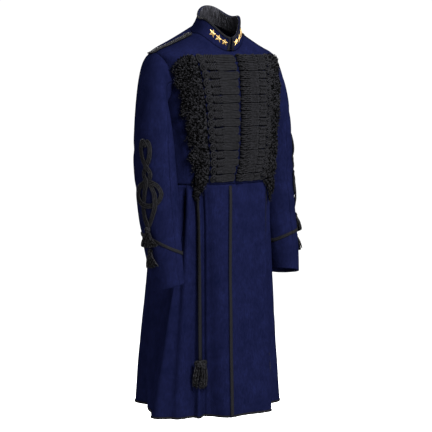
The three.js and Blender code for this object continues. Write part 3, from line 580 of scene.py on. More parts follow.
class SleeveForm(Form):
    """A sleeve's outside: turn 0 at its front, 90 on the outer side."""

    step = (1.5, 0.008)

    def __init__(self, side: Side, bodice: BodiceForm) -> None:
        """Measure the armhole once.

        Args:
            side: The sleeve's side.
            bodice: The bodice that the sleeve is sewn into.
        """
        self.side = side
        turns = np.arange(0, 361, 5.0)
        y = ARM["right"] - ARM["r"] * np.cos(np.radians(turns))
        z = ARM_Z + ARM_TALL * np.sin(np.radians(turns))
        self.armhole = (turns, self.side_x(bodice, y, z) - ARM["xo"])

    @staticmethod
    def side_x(bodice: BodiceForm, y: Array, z: Array) -> Array:
        """Find the bodice's half width at points of its side, in millimetres."""
        turns, fractions = np.meshgrid(np.arange(25, 156, 1.0), np.linspace(0, 1, 161), indexing="ij")
        p = tilted(BODICE, turns, fractions).reshape(-1, 3)
        out = []
        for a, b in zip(y, z):
            away = (p[:, 1] - a) ** 2 + (p[:, 2] - b) ** 2
            near = np.argsort(away)[:4]
            weight = 1 / (away[near] + 0.05)
            out.append(float((p[near, 0] * weight).sum() / weight.sum()))
        return np.array(out)

    def point(self, u: Array, v: Array) -> Array:
        """Give the sleeve's points with its creases."""
        row = SLEEVE.read(v)
        s0, c0 = sin_cos(u)
        s, c = signed_power(s0, 0.92), signed_power(c0, 0.92)
        x = (row["xo"] + row["xi"]) / 2 + (row["xo"] - row["xi"]) / 2 * s
        y = row[self.side.word] - row["r"] * c
        z = (row["zo"] + row["zi"]) / 2 + (row["zo"] - row["zi"]) / 2 * s + self.tilt(u, v)
        hold = np.clip(1 - v / 0.2, 0, 1)
        fix = np.interp(np.mod(u, 360), *self.armhole)
        x = x + fix * hold * hold
        first = np.clip(1 - v / 0.03, 0, 1)
        x = x * (1 - first) + (ARM["xo"] + fix) * first
        y = y * (1 - first) + (ARM["right"] - ARM["r"] * c0) * first
        z = z * (1 - first) + (ARM_Z + ARM_TALL * s0) * first
        middle = (row["zo"] + row["zi"]) / 2
        wrapped = np.mod(u + 90, 360) - 90
        push = creased(SLEEVE_CREASES, wrapped, middle, SLEEVE_ROUND)
        push = push + ripple(u, middle, 1.7 * self.side.sign, 1.1)
        push = push * np.clip(v * 7, 0, 1) * np.clip((1 - v) * 9, 0, 1)
        x = x + push * s0
        y = y - push * c0
        return np.stack([self.side.sign * x, y, z], -1)

    @staticmethod
    def tilt(u: Array, v: Array) -> Array:
        """Give how far the sleeve end is cut square to the bent arm."""
        return CUFF_TILT * v**3 * np.cos(np.radians(u + CUFF_TILT_TURN))

    def normal(self, u: Array, v: Array) -> Array:
        """Give the outward normals, the left sleeve's turns running the other way round."""
        return super().normal(u, v) * -self.side.sign

    def row_at(self, z: Array) -> Array:
        """Find the fraction where the sleeve's middle reaches a height in millimetres."""
        v = np.linspace(0, 1, 400)
        row = SLEEVE.read(v)
        middle = (row["zo"] + row["zi"]) / 2
        return np.interp(-np.asarray(z, float), -middle, v)

    def on_knot(self, across: Array, z: Array, lift: Array | float) -> Array:
        """Give points near the knot's line.

        Args:
            across: Millimetres round the sleeve from the knot's line.
            z: Heights in millimetres.
            lift: Millimetres outwards.

        Returns:
            Points in millimetres.
        """
        v = self.row_at(z)
        radius = SLEEVE.read(v)["r"] * 0.93
        lean = KNOT_LEAN.by_height(z, "a")
        return self.lifted(KNOT_TURN + np.degrees((across + lean) / radius), v, lift)


# ---------------------------------------------------------------- materials


def linear(hex_colour: str) -> tuple[float, float, float, float]:
    """Turn an sRGB hex colour to linear.

    Args:
        hex_colour: Six hex digits.

    Returns:
        Red, green, blue and 1.
    """
    parts = [int(hex_colour[k:k + 2], 16) / 255 for k in (0, 2, 4)]
    light = [p / 12.92 if p <= 0.04045 else ((p + 0.055) / 1.055) ** 2.4 for p in parts]
    return (light[0], light[1], light[2], 1.0)


class Shader:
    """A material under construction."""

    def __init__(self, name: str) -> None:
        """Start an empty node tree with a principled shader."""
        self.material = bpy.data.materials.new(name)
        self.material.use_nodes = True
        self.tree = self.material.node_tree
        self.tree.nodes.clear()
        self.output = self.node("ShaderNodeOutputMaterial")
        self.base = self.node("ShaderNodeBsdfPrincipled")
        self.tree.links.new(self.base.outputs["BSDF"], self.output.inputs["Surface"])

    def node(self, kind: str, settings: dict | None = None, **links: object) -> bpy.types.Node:
        """Add a node with its settings and inputs.

        Args:
            kind: The node's type.
            settings: Attributes to set on the node.
            **links: Inputs by name, with _ for a space: a socket is linked, a value is set.

        Returns:
            The node.
        """
        made = self.tree.nodes.new(kind)
        for key, value in (settings or {}).items():
            setattr(made, key, value)
        for key, value in links.items():
            numbered = key[0] == "i" and key[1:].isdigit()
            socket = made.inputs[int(key[1:]) if numbered else key.replace("_", " ")]
            if isinstance(value, bpy.types.NodeSocket):
                self.tree.links.new(value, socket)
            else:
                socket.default_value = value
        return made

    def set(self, **values: object) -> None:
        """Set or link the principled shader's sockets."""
        for key, value in values.items():
            socket = self.base.inputs[key.replace("_", " ")]
            if isinstance(value, bpy.types.NodeSocket):
                self.tree.links.new(value, socket)
            else:
                socket.default_value = value

    def place(self) -> bpy.types.NodeSocket:
        """Give the piece's own coordinates."""
        return self.node("ShaderNodeTexCoord").outputs["Object"]

    def noise(self, scale: float, place: bpy.types.NodeSocket | None = None, **inputs: float) -> bpy.types.NodeSocket:
        """Add a noise texture over the piece's own coordinates, or over others, and give its output."""
        vector = self.place() if place is None else place
        return self.node("ShaderNodeTexNoise", None, Vector=vector, Scale=scale, **inputs).outputs["Fac"]

    def haired(self, wave: bpy.types.NodeSocket, hairs: float) -> bpy.types.NodeSocket:
        """Turn a wave of plies into a height, with the fuzz of loose hairs on it."""
        ply = self.math("MULTIPLY", self.math("ADD", wave, 1.0), 0.5)
        fuzz = self.math("MULTIPLY", self.noise(hairs, Detail=2.0, Roughness=0.7), 0.5)
        return self.math("ADD", self.math("MULTIPLY", ply, 0.6), fuzz)

    def math(self, operation: str, a: object, b: object = 0.0) -> bpy.types.NodeSocket:
        """Add a math node and give its output."""
        return self.node("ShaderNodeMath", {"operation": operation}, i0=a, i1=b).outputs[0]

    def ramp(self, value: bpy.types.NodeSocket, stops: Sequence[tuple[float, str]]) -> bpy.types.NodeSocket:
        """Colour a value through hex stops."""
        made = self.node("ShaderNodeValToRGB", None, Fac=value)
        elements = made.color_ramp.elements
        while len(elements) < len(stops):
            elements.new(0.5)
        for element, (position, colour) in zip(elements, stops):
            element.position = position
            element.color = linear(colour)
        return made.outputs["Color"]

    def bump(self, height: bpy.types.NodeSocket, metres: float, strength: float) -> None:
        """Drive the shader's normal from a height."""
        made = self.node("ShaderNodeBump", None, Height=height, Distance=metres, Strength=strength)
        self.set(Normal=made.outputs["Normal"])


@dataclass(frozen=True)
class Broadcloth:
    """Fulled, napped wool broadcloth: a dull soft ground whose short nap brightens at the edges."""

    name: str = "navy_wool_broadcloth"
    dark: str = "02030d"
    mid: str = "040512"
    light: str = "06081a"
    nap_mm: float = 1.1
    mottle_mm: float = 45.0

    def build(self) -> bpy.types.Material:
        """Make the material."""
        shader = Shader(self.name)
        mottle = shader.noise(1000 / self.mottle_mm, Detail=4.0, Roughness=0.6)
        nap = shader.noise(1000 / self.nap_mm, Detail=2.0, Roughness=0.7)
        stretch = shader.node("ShaderNodeMapping", None, Vector=shader.place(), Scale=(1.0, 1.0, 0.35))
        lint = shader.noise(1000 / (self.nap_mm * 4), stretch.outputs[0], Detail=3.0, Roughness=0.75)
        blend = shader.math("ADD", shader.math("MULTIPLY", mottle, 0.45), shader.math("MULTIPLY", lint, 0.55))
        colour = shader.ramp(blend, [(0.3, self.dark), (0.5, self.mid), (0.72, self.light)])
        shader.set(Base_Color=colour, Roughness=0.9, Sheen_Weight=0.0008, Sheen_Roughness=0.5,
                   Sheen_Tint=linear("5a6ab8"), Specular_IOR_Level=0.0)
        shader.bump(shader.math("ADD", nap, lint), 0.0006, 0.35)
        return shader.material


@dataclass(frozen=True)
class Mohair:
    """Worsted mohair: twisted or plaited yarn, black, with painted grey highlights along the crowns of its plies,
    painted shade in the grooves and noise patches of painted shade.
    """

    name: str
    dark: str = "030303"
    light: str = "0f0f11"
    twist_mm: float = 2.4
    rough: float = 0.6
    depth_mm: float = 0.5
    # The next two set painted shade: noise patches this many millimetres across darken the colour by up to this
    # share, as shadow between locks.
    tuft_mm: float = 6.0
    tuft_depth: float = 0.4

    def build(self) -> bpy.types.Material:
        """Make the material."""
        shader = Shader(self.name)
        along = shader.node("ShaderNodeAttribute", {"attribute_name": "strand"})
        split = shader.node("ShaderNodeSeparateXYZ", None, Vector=along.outputs["Vector"])
        turn = shader.math("MULTIPLY", split.outputs[2], 2 * math.pi * 1000 / self.twist_mm)
        first = shader.math("MULTIPLY", shader.math("SINE", turn), split.outputs[0])
        second = shader.math("MULTIPLY", shader.math("COSINE", turn), split.outputs[1])
        blend = shader.haired(shader.math("ADD", first, second), 900.0)
        # Painted shade: a noise darkens patches of the colour, standing in for the shadow between curled locks and
        # cords.
        shade_patches = shader.noise(1000 / self.tuft_mm, Detail=1.0)
        shade = shader.node("ShaderNodeMapRange", None, Value=shade_patches, From_Min=0.4, From_Max=0.6,
                            To_Min=1 - self.tuft_depth, To_Max=1.0)
        shaded = shader.math("MULTIPLY", blend, shade.outputs["Result"])
        # Painted highlight and shade: the colour follows the ply height that drives the bump, lighter on each crown
        # and darker in the grooves.
        colour = shader.ramp(shaded, [(0.1, self.dark), (0.85, self.light)])
        shader.set(Base_Color=colour, Roughness=self.rough, Specular_IOR_Level=0.006)
        shader.bump(blend, self.depth_mm * MM, 0.6)
        return shader.material


@dataclass(frozen=True)
class FlatBraid:
    """Flat plaited braid: a herringbone of fine diagonal plies with a raised spine, the plies' crowns painted lighter
    as highlight and the grooves between them painted darker as shade.
    """

    name: str = "flat_mohair_braid"
    dark: str = "040404"
    light: str = "0b0b0d"
    ply_mm: float = 2.6

    def build(self) -> bpy.types.Material:
        """Make the material."""
        shader = Shader(self.name)
        uv = shader.node("ShaderNodeUVMap", {"uv_map": "cloth"}).outputs["UV"]
        split = shader.node("ShaderNodeSeparateXYZ", None, Vector=uv)
        slant = shader.math("ABSOLUTE", split.outputs[0])
        run = shader.math("ADD", split.outputs[1], slant)
        wave = shader.math("SINE", shader.math("MULTIPLY", run, 2 * math.pi * 1000 / self.ply_mm))
        blend = shader.haired(wave, 800.0)
        # Painted highlight and shade: the colour follows the ply height that also drives the bump.
        colour = shader.ramp(blend, [(0.2, self.dark), (0.85, self.light)])
        shader.set(Base_Color=colour, Roughness=0.6, Specular_IOR_Level=0.006)
        shader.bump(blend, 0.0006, 0.7)
        return shader.material


@dataclass(frozen=True)
class CrinkledSilk:
    """Black silk that has shattered into fine upright crinkles: dark, with thin bright ridges painted into its colour
    as highlight and hollows painted darker as shade.
    """

    name: str = "black_crinkled_silk"
    crinkle_mm: float = 6.0

    def build(self) -> bpy.types.Material:
        """Make the material."""
        shader = Shader(self.name)
        flat = shader.node("ShaderNodeMapping", None, Vector=shader.place(), Scale=(1.0, 1.0, 0.3))
        folds = shader.noise(1000 / self.crinkle_mm, flat.outputs[0], Detail=5.0, Roughness=0.65, Distortion=0.8)
        # Painted highlight and shade: the colour follows the crinkle height that also drives the bump, lighter on the
        # ridges.
        colour = shader.ramp(folds, [(0.35, "060607"), (0.6, "18181b"), (0.75, "34343a")])
        shader.set(Base_Color=colour, Roughness=0.45, Specular_IOR_Level=0.05)
        shader.bump(folds, 0.003, 0.9)
        return shader.material


@dataclass(frozen=True)
class GoldThread:
    """Gilt metal thread laid side by side: warm, with fine ridges that catch the light."""

    name: str = "gilt_metal_thread"
    thread_mm: float = 0.8

    def build(self) -> bpy.types.Material:
        """Make the material."""
        shader = Shader(self.name)
        threads = shader.node("ShaderNodeTexWave", {"wave_type": "BANDS", "bands_direction": "DIAGONAL"},
                              Vector=shader.place(), Scale=1000 / self.thread_mm / 6.28, Distortion=1.5, Detail=1.0)
        colour = shader.ramp(shader.noise(300.0, Detail=3.0), [(0.3, "4a3818"), (0.5, "7a6236"), (0.75, "a09068")])
        shader.set(Base_Color=colour, Metallic=0.75, Roughness=0.38)
        shader.bump(threads.outputs["Fac"], 0.0004, 0.5)
        return shader.material


@dataclass(frozen=True)
class Paper:
    """Matt white studio paper, pale and even."""

    name: str = "studio_paper"

    def build(self) -> bpy.types.Material:
        """Make the material."""
        shader = Shader(self.name)
        colour = shader.ramp(shader.noise(40.0), [(0.3, "fcfcfc"), (0.7, "fefefe")])
        shader.set(Base_Color=colour, Roughness=0.95)
        return shader.material


@dataclass
class Finishes:
    """Every finish of the coat."""

    wool: bpy.types.Material = field(default_factory=lambda: Broadcloth().build())
    cord: bpy.types.Material = field(default_factory=lambda: Mohair("black_mohair_cord").build())
    # The tassel and fringe get deep patches of painted shade, the fringe's going fully black, as shadow between their
    # locks.
    tassel: bpy.types.Material = field(
        default_factory=lambda: Mohair(
            "tassel_mohair", dark="010101", light="1a1a1c", twist_mm=1.8, rough=0.7, tuft_mm=3.5,
            tuft_depth=0.9).build())
    fringe: bpy.types.Material = field(
        default_factory=lambda: Mohair(
            "curled_mohair_fringe", dark="000000", light="141416", twist_mm=1.8, rough=0.7, tuft_mm=5.5,
            tuft_depth=1.0).build())
    braid: bpy.types.Material = field(default_factory=lambda: FlatBraid().build())
    silk: bpy.types.Material = field(default_factory=lambda: CrinkledSilk().build())
    gold: bpy.types.Material = field(default_factory=lambda: GoldThread().build())


# ---------------------------------------------------------------- mesh making


def link(name: str, mesh: bpy.types.Mesh, material: bpy.types.Material) -> bpy.types.Object:
    """Put a mesh in the scene, smooth and dressed, riding on the coat."""
    for polygon in mesh.polygons:
        polygon.use_smooth = True
    mesh.materials.append(material)
    made = bpy.data.objects.new(name, mesh)
    bpy.context.scene.collection.objects.link(made)
    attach(made, ROOT)
    return made


def spread_grid(name: str, nu: int, nv: int, mapping: Mapping, closed: bool = False) -> bpy.types.Mesh:
    """Lay a grid over a surface and keep its real lengths in a UV map.

    Args:
        name: The mesh's name.
        nu: Quads along u.
        nv: Quads along v.
        mapping: Turns u and v from 0 to 1 into points in metres.
        closed: Whether u runs round and meets itself.

    Returns:
        The mesh.
    """
    bm = bmesh.new()
    bmesh.ops.create_grid(bm, x_segments=nu, y_segments=nv, size=0.5)
    bm.verts.ensure_lookup_table()
    flat = np.array([v.co[:2] for v in bm.verts]) + 0.5
    points = mapping(flat[:, 0], flat[:, 1])
    ends = mapping(np.linspace(0, 1, 9), np.full(9, 0.5))
    wide = float(np.linalg.norm(np.diff(ends, axis=0), axis=1).sum())
    ends = mapping(np.full(9, 0.5), np.linspace(0, 1, 9))
    tall = float(np.linalg.norm(np.diff(ends, axis=0), axis=1).sum())
    layer = bm.loops.layers.uv.new("cloth")
    for face in bm.faces:
        for loop in face.loops:
            u, v = flat[loop.vert.index]
            loop[layer].uv = ((u - 0.5) * wide, v * tall)
    for vert, point in zip(bm.verts, points):
        vert.co = Vector(point)
    if closed:
        bmesh.ops.remove_doubles(bm, verts=bm.verts, dist=1e-6)
    mesh = bpy.data.meshes.new(name)
    bm.to_mesh(mesh)
    bm.free()
    return mesh


def face_outwards(mesh: bpy.types.Mesh, outward: Callable[[Array], Array]) -> None:
    """Turn the faces round where they look against the outward direction.

    Args:
        mesh: An open sheet.
        outward: Gives the outward direction at face centres.
    """
    centres = np.array([p.center for p in mesh.polygons])
    normals = np.array([p.normal for p in mesh.polygons])
    if float((normals * outward(centres)).sum()) < 0:
        mesh.flip_normals()


def from_axis(centres: Array) -> Array:
    """Directions away from the coat's upright axis."""
    away = centres * np.array([1.0, 1.0, 0.0])
    return away / np.maximum(np.linalg.norm(away, axis=1, keepdims=True), 1e-6)


def thicken(made: bpy.types.Object, thickness: float, offset: float = -1.0) -> None:
    """Give a sheet its wall."""
    wall = made.modifiers.new("wall", "SOLIDIFY")
    wall.thickness = thickness * MM
    wall.offset = offset
    wall.use_even_offset = False


@dataclass
class Line:
    """A strand's centre points and outward directions in millimetres, with its radius along it."""

    points: Array
    outs: Array
    radius: Array


def resample(values: Array, count: int) -> Array:
    """Read a line of values at evenly spaced places along it."""
    at = np.linspace(0, len(values) - 1, count)
    i = np.minimum(np.floor(at).astype(int), len(values) - 2)
    f = (at - i)[:, None]
    p1, p2 = values[i], values[i + 1]
    p0 = values[np.maximum(i - 1, 0)]
    p3 = values[np.minimum(i + 2, len(values) - 1)]
    return blend_four(f, p0, p1, p2, p3)


def strand_mesh(name: str, lines: Sequence[Line], rings: int, sides: int) -> bpy.types.Mesh:
    """Make many round strands as one mesh, each a capped tube bent along its line.

    Args:
        name: The mesh's name.
        lines: The strands.
        rings: Rings along each strand.
        sides: Sides of the section.

    Returns:
        The mesh, with a "strand" attribute: the round direction and the length along.
    """
    tube = bmesh.new()
    bmesh.ops.create_cone(tube, cap_ends=True, segments=sides, radius1=1.0, radius2=1.0, depth=1.0)
    upright = [e for e in tube.edges if abs(e.verts[0].co.z - e.verts[1].co.z) > 0.5]
    bmesh.ops.subdivide_edges(tube, edges=upright, cuts=rings - 2, use_grid_fill=False)
    template = bpy.data.meshes.new("template")
    tube.to_mesh(template)
    tube.free()
    local = np.array([v.co[:] for v in template.vertices])
    every = bmesh.new()
    for _ in lines:
        every.from_mesh(template)
    mesh = bpy.data.meshes.new(name)
    every.to_mesh(mesh)
    every.free()
    bpy.data.meshes.remove(template)
    at = local[:, 2] + 0.5
    place = at * (rings - 1)
    low = np.minimum(np.floor(place + 1e-6).astype(int), rings - 2)
    share = (place - low)[:, None]
    round_x = local[:, 0] / np.maximum(np.hypot(local[:, 0], local[:, 1]), 1e-9)
    round_y = local[:, 1] / np.maximum(np.hypot(local[:, 0], local[:, 1]), 1e-9)
    everywhere, strands = [], []
    for line in lines:
        p, out = resample(line.points, rings), resample(line.outs, rings)
        r = np.interp(np.linspace(0, 1, rings), np.linspace(0, 1, len(line.radius)), line.radius)
        along = np.gradient(p, axis=0)
        along /= np.maximum(np.linalg.norm(along, axis=1, keepdims=True), 1e-9)
        out = out - along * (out * along).sum(1, keepdims=True)
        out /= np.maximum(np.linalg.norm(out, axis=1, keepdims=True), 1e-9)
        across = np.cross(along, out)
        length = np.concatenate([[0], np.cumsum(np.linalg.norm(np.diff(p, axis=0), axis=1))])

        def read(values: Array) -> Array:
            """Read ring values at the template's vertices."""
            return values[low] * (1 - share) + values[low + 1] * share

        wide = read(r[:, None])
        body = read(p) + wide * (read(across) * round_x[:, None] + read(out) * round_y[:, None])
        everywhere.append(body * MM)
        strands.append(np.stack([round_x, round_y, read(length[:, None])[:, 0] * MM], -1))
    co = np.concatenate(everywhere).astype(np.float32)
    mesh.vertices.foreach_set("co", co.ravel())
    data = mesh.attributes.new("strand", "FLOAT_VECTOR", "POINT")
    data.data.foreach_set("vector", np.concatenate(strands).astype(np.float32).ravel())
    mesh.update()
    return mesh


def lay_line(surface: Callable[[Array, Array, Array], Array], across: Array, z: Array, lift: Array,
             radius: Array | float) -> Line:
    """Lay a strand on a surface.

    Args:
        surface: Gives points from across, height and lift in millimetres.
        across: Places across.
        z: Heights.
        lift: Distances off the surface.
        radius: The strand's radius.

    Returns:
        The strand's line.
    """
    points = surface(across, z, lift)
    outs = surface(across, z, lift + 3.0) - points
    size = np.broadcast_to(np.asarray(radius, float), across.shape)
    return Line(points, outs, size)


def ribbon(name: str, surface: Callable[[Array, Array, Array], Array], path: Mapping, wide: float, thick: float,
           segments: int, material: bpy.types.Material, closed: bool = False) -> bpy.types.Object:
    """Lay a domed flat braid on a surface.

    Args:
        name: The piece's name.
        surface: Gives points from two places and a lift, in millimetres.
        path: Gives the surface's places from the braid's length and width fractions.
        wide: The braid's width in millimetres.
        thick: Its thickness in millimetres.
        segments: Quads along it.
        material: Its finish.
        closed: Whether it runs round and meets itself.

    Returns:
        The piece.
    """
    lines = 6

    def mapping(u: Array, v: Array) -> Array:
        """Give the braid's domed surface in metres."""
        places = path(u, v)
        dome = thick * (0.62 + 0.38 * np.sqrt(np.maximum(0.0, 1 - (2 * v - 1) ** 2)))
        return surface(places[..., 0], places[..., 1], SEAT + dome) * MM

    mesh = spread_grid(name, segments, lines, mapping, closed)
    turned = mesh.uv_layers["cloth"].data
    for loop in turned:
        u, v = loop.uv
        loop.uv = (v - wide * MM / 2, u)
    spot = path(np.array([0.5]), np.array([0.5]))
    base, high = (surface(spot[..., 0], spot[..., 1], np.array([lift])) for lift in (0.0, 5.0))
    out = (high - base)[0]
    middle = min(mesh.polygons, key=lambda p: (Vector(base[0] * MM) - p.center).length)
    if middle.normal.dot(Vector(out)) < 0:
        mesh.flip_normals()
    made = link(name, mesh, material)
    thicken(made, thick * 0.8)
    return made


# ---------------------------------------------------------------- cloth


def stand_for(made: bpy.types.Object, node: str, slot: str) -> bpy.types.Object:
    """Hide the frame node that a piece replaces."""
    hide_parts(node)
    return made


@dataclass(frozen=True)
class Sheet:
    """How a cloth sheet is cut and kept: its flat cut in metres, its wall in millimetres and what holds it."""

    cut: tuple[float, float]
    wall: float
    held: str
    rests_on: str
    slot: str = "navy_wool"

    def dress(self, name: str, mesh: bpy.types.Mesh, finish: bpy.types.Material, node: str) -> bpy.types.Object:
        """Make the piece of cloth from its outer face."""
        made = link(name, mesh, finish)
        thicken(made, self.wall)
        stand_for(made, node, self.slot)
        return made


@dataclass
class Bodice:
    """The bodice: two fronts and a back, with armholes."""

    finishes: Finishes
    form: BodiceForm = field(default_factory=BodiceForm)
    side_seam: float = 96.0
    front: Sheet = Sheet((0.31, 0.44), 2.0, "hung", "shoulder_strap_right_braid")
    back: Sheet = Sheet((0.42, 0.47), 2.0, "hung", "shoulder_strap_right_braid")

    def closure_turn(self, v: Array, gap: float) -> Array:
        """Give the closure's turn at places up the front."""
        z = tilted(BODICE, np.zeros(np.shape(v)), v)[..., 2]
        x = CLOSURE.by_height(z, "x") + gap
        row = BODICE.read(v)
        return np.degrees(np.arcsin((np.abs(x) / row["a"]) ** (row["n"] / 2))) * np.sign(x)

    def build(self) -> list[bpy.types.Object]:
        """Make the panels."""
        made = []
        for side in Side:
            def mapping(u: Array, v: Array, side: Side = side) -> Array:
                """Map a front from the closure to the side seam."""
                edge = self.closure_turn(v, side.sign * 0.2)
                turn = edge + (side.sign * self.side_seam - edge) * u
                return self.form.lifted(turn, v, 0.0) * MM

            made.append(self.panel(f"bodice_front_{side.word}", mapping, 70, 96, f"front_{side.word}",
                                   self.front, [side]))

        def behind(u: Array, v: Array) -> Array:
            """Map the back from side seam to side seam."""
            turn = self.side_seam + 0.14 + (360 - 2 * self.side_seam - 0.28) * u
            return self.form.lifted(turn, v, 0.0) * MM

        made.append(self.panel("bodice_back", behind, 110, 96, "back", self.back, list(Side)))
        return made

    def panel(self, name: str, mapping: Mapping, nu: int, nv: int, node: str, sheet: Sheet,
              sides: Sequence[Side]) -> bpy.types.Object:
        """Make one panel and cut its armhole.

        Args:
            name: The piece's name.
            mapping: Its surface.
            nu: Quads across.
            nv: Quads up.
            node: The frame node that it stands for.
            sheet: How it is cut and kept.
            sides: The armholes that it meets.

        Returns:
            The piece.
        """
        mesh = spread_grid(name, nu, nv, mapping)
        face_outwards(mesh, from_axis)
        bm = bmesh.new()
        bm.from_mesh(mesh)
        for side in sides:
            self.cut_armhole(bm, side)
        bm.to_mesh(mesh)
        bm.free()
        return sheet.dress(name, mesh, self.finishes.wool, node)

    @staticmethod
    def cut_armhole(bm: bmesh.types.BMesh, side: Side) -> None:
        """Take out the armhole: edges are split on its ellipse and the inside is deleted."""
        steps = 40
        deep, tall = (ARM["r"] + ARM_EASE) * MM, (ARM_TALL + ARM_EASE) * MM
        centre = Vector((0, ARM["right"] * MM, ARM_Z * MM))
        inside = [f for f in bm.faces if f.calc_center_median().x * side.sign > ARM_X]
        for k in range(steps):
            turn = 2 * math.pi * (k + 0.5) / steps
            normal = Vector((0, math.cos(turn) / deep, math.sin(turn) / tall)).normalized()
            rim = centre + Vector((0, deep * math.cos(turn), tall * math.sin(turn)))
            near = [f for f in inside if f.is_valid and (f.calc_center_median() - rim).yz.length < ARM_NEAR]
            geom = list({e for f in near for e in f.edges} | {v for f in near for v in f.verts}) + near
            result = bmesh.ops.bisect_plane(bm, geom=geom, dist=1e-6, plane_co=rim, plane_no=normal)
            inside = [f for f in inside if f.is_valid]
            inside += [g for g in result["geom"] if isinstance(g, bmesh.types.BMFace) and g not in inside]
        gone = []
        for face in bm.faces:
            c = face.calc_center_median()
            reach = ((c.y - centre.y) / deep) ** 2 + ((c.z - centre.z) / tall) ** 2
            if c.x * side.sign >= ARM_X and reach < 1.0:
                gone.append(face)
        bmesh.ops.delete(bm, geom=gone, context="FACES")


@dataclass
class Skirt:
    """The skirt: two fronts, the left one over the right, and two backs with a vent."""

    finishes: Finishes
    form: SkirtForm = field(default_factory=SkirtForm)
    under: float = 2.4
    front: Sheet = Sheet((0.42, 0.64), 2.0, "hung", "bodice_back")
    back: Sheet = Sheet((0.47, 0.64), 2.0, "hung", "bodice_back")

    def front_edge(self, side: Side, z: Array) -> Array:
        """Give the front edge's turn: the right front runs on beneath the left one."""
        x = FRONT_EDGE.by_height(z, "x") + (FRONT_LAP if side is Side.RIGHT else 0.0)
        return self.form.turn_at(x, z)

    def on_front(self, side: Side, turn: Array, z: Array, lift: Array | float) -> Array:
        """Give points on a front with its lap rise."""
        return self.form.lifted(turn, z, lift + self.form.rise(side, turn, z))

    def build(self) -> list[bpy.types.Object]:
        """Make the four panels."""
        made = []
        for side in Side:
            def ahead(u: Array, v: Array, side: Side = side) -> Array:
                """Map a front from its edge to the side seam."""
                z = SKIRT_TOP + (SKIRT_HEM - SKIRT_TOP) * v
                edge = self.front_edge(side, z)
                turn = edge + (side.sign * self.form.seam(z) - edge) * u
                return self.on_front(side, turn, z, 0.0) * MM

            def behind(u: Array, v: Array, side: Side = side) -> Array:
                """Map a back from under the side seam to the vent."""
                z = SKIRT_TOP + (SKIRT_HEM + HEM_STEP - SKIRT_TOP) * v
                start = side.sign * (self.form.seam(z) - self.under)
                turn = start + (side.sign * 179.9 - start) * u
                drop = (self.front.wall + SEAT) * np.exp(-(((turn - start) / 6.0) ** 2))
                return self.form.lifted(turn, z, -drop) * MM

            for word, mapping, nu, sheet in (("front", ahead, 96, self.front), ("back", behind, 110, self.back)):
                node = f"skirt_{word}_{side.word}"
                mesh = spread_grid(f"{node}_cloth", nu, 98, mapping)
                face_outwards(mesh, from_axis)
                made.append(sheet.dress(f"{node}_cloth", mesh, self.finishes.wool, node))
        return made


@dataclass
class Sleeve:
    """A sleeve with its cuff braid, knot and tassels."""

    side: Side
    finishes: Finishes
    bodice: BodiceForm
    sheet: Sheet = Sheet((0.44, 0.66), 2.0, "hung", "bodice_back")

    def __post_init__(self) -> None:
        """Measure the form."""
        self.form = SleeveForm(self.side, self.bodice)

    def build(self) -> bpy.types.Object:
        """Make the tube of cloth."""
        def mapping(u: Array, v: Array) -> Array:
            """Map the tube round the arm."""
            return self.form.lifted(360 * u, v, 0.0) * MM

        name = f"sleeve_{self.side.word}_cloth"
        mesh = spread_grid(name, 96, 126, mapping, closed=True)

        def outward(centres: Array) -> Array:
            """Point away from the middle of the tube."""
            row = SLEEVE.read(self.form.row_at(centres[:, 2] / MM))
            middle = np.stack([self.side.sign * (row["xo"] + row["xi"]) / 2, row[self.side.word],
                               centres[:, 2] / MM], -1) * MM
            return centres - middle

        face_outwards(mesh, outward)
        return self.sheet.dress(name, mesh, self.finishes.wool, f"sleeve_{self.side.word}")


@dataclass
class Collar:
    """The stand collar, its lining, edging and stars."""

    finishes: Finishes
    form: CollarForm = field(default_factory=CollarForm)
    opening: float = 2.6
    sheet: Sheet = Sheet((0.40, 0.055), 2.6, "stretched", "bodice_back")
    silk: Sheet = Sheet((0.42, 0.06), 0.3, "stretched", "collar_cloth", "black_silk")

    def build(self) -> list[bpy.types.Object]:
        """Make the collar and its lining."""
        span = 360 - 2 * self.opening

        def outside(u: Array, v: Array) -> Array:
            """Map the collar's outer face."""
            return self.form.lifted(self.opening + span * u, v, 0.0) * MM

        def inside(u: Array, v: Array) -> Array:
            """Map the crinkled silk inside the collar."""
            turn = self.opening + span * u
            crinkle = 0.55 * np.sin(np.radians(turn) * 41 + 2.2 * np.sin(v * 5)) + 0.45 * np.sin(
                np.radians(turn) * 67 + 3.1 * np.sin(v * 7 + 1))
            crinkle = crinkle * np.clip(np.minimum(v, 1 - v) * 6, 0, 1)
            return self.form.lifted(turn, v, -self.sheet.wall - SEAT - 0.9 + 0.8 * crinkle) * MM

        mesh = spread_grid("collar_cloth", 120, 16, outside)
        face_outwards(mesh, self.outward)
        collar = self.sheet.dress("collar_cloth", mesh, self.finishes.wool, "collar")
        silk = spread_grid("collar_lining_silk", 240, 20, inside)
        face_outwards(silk, lambda c: -self.outward(c))
        return [collar, self.silk.dress("collar_lining_silk", silk, self.finishes.silk, "collar_lining")]

    @staticmethod
    def outward(centres: Array) -> Array:
        """Directions away from the collar's axis."""
        return (centres - np.array([0.0, -0.043, 0.0])) * np.array([1.0, 1.0, 0.0])


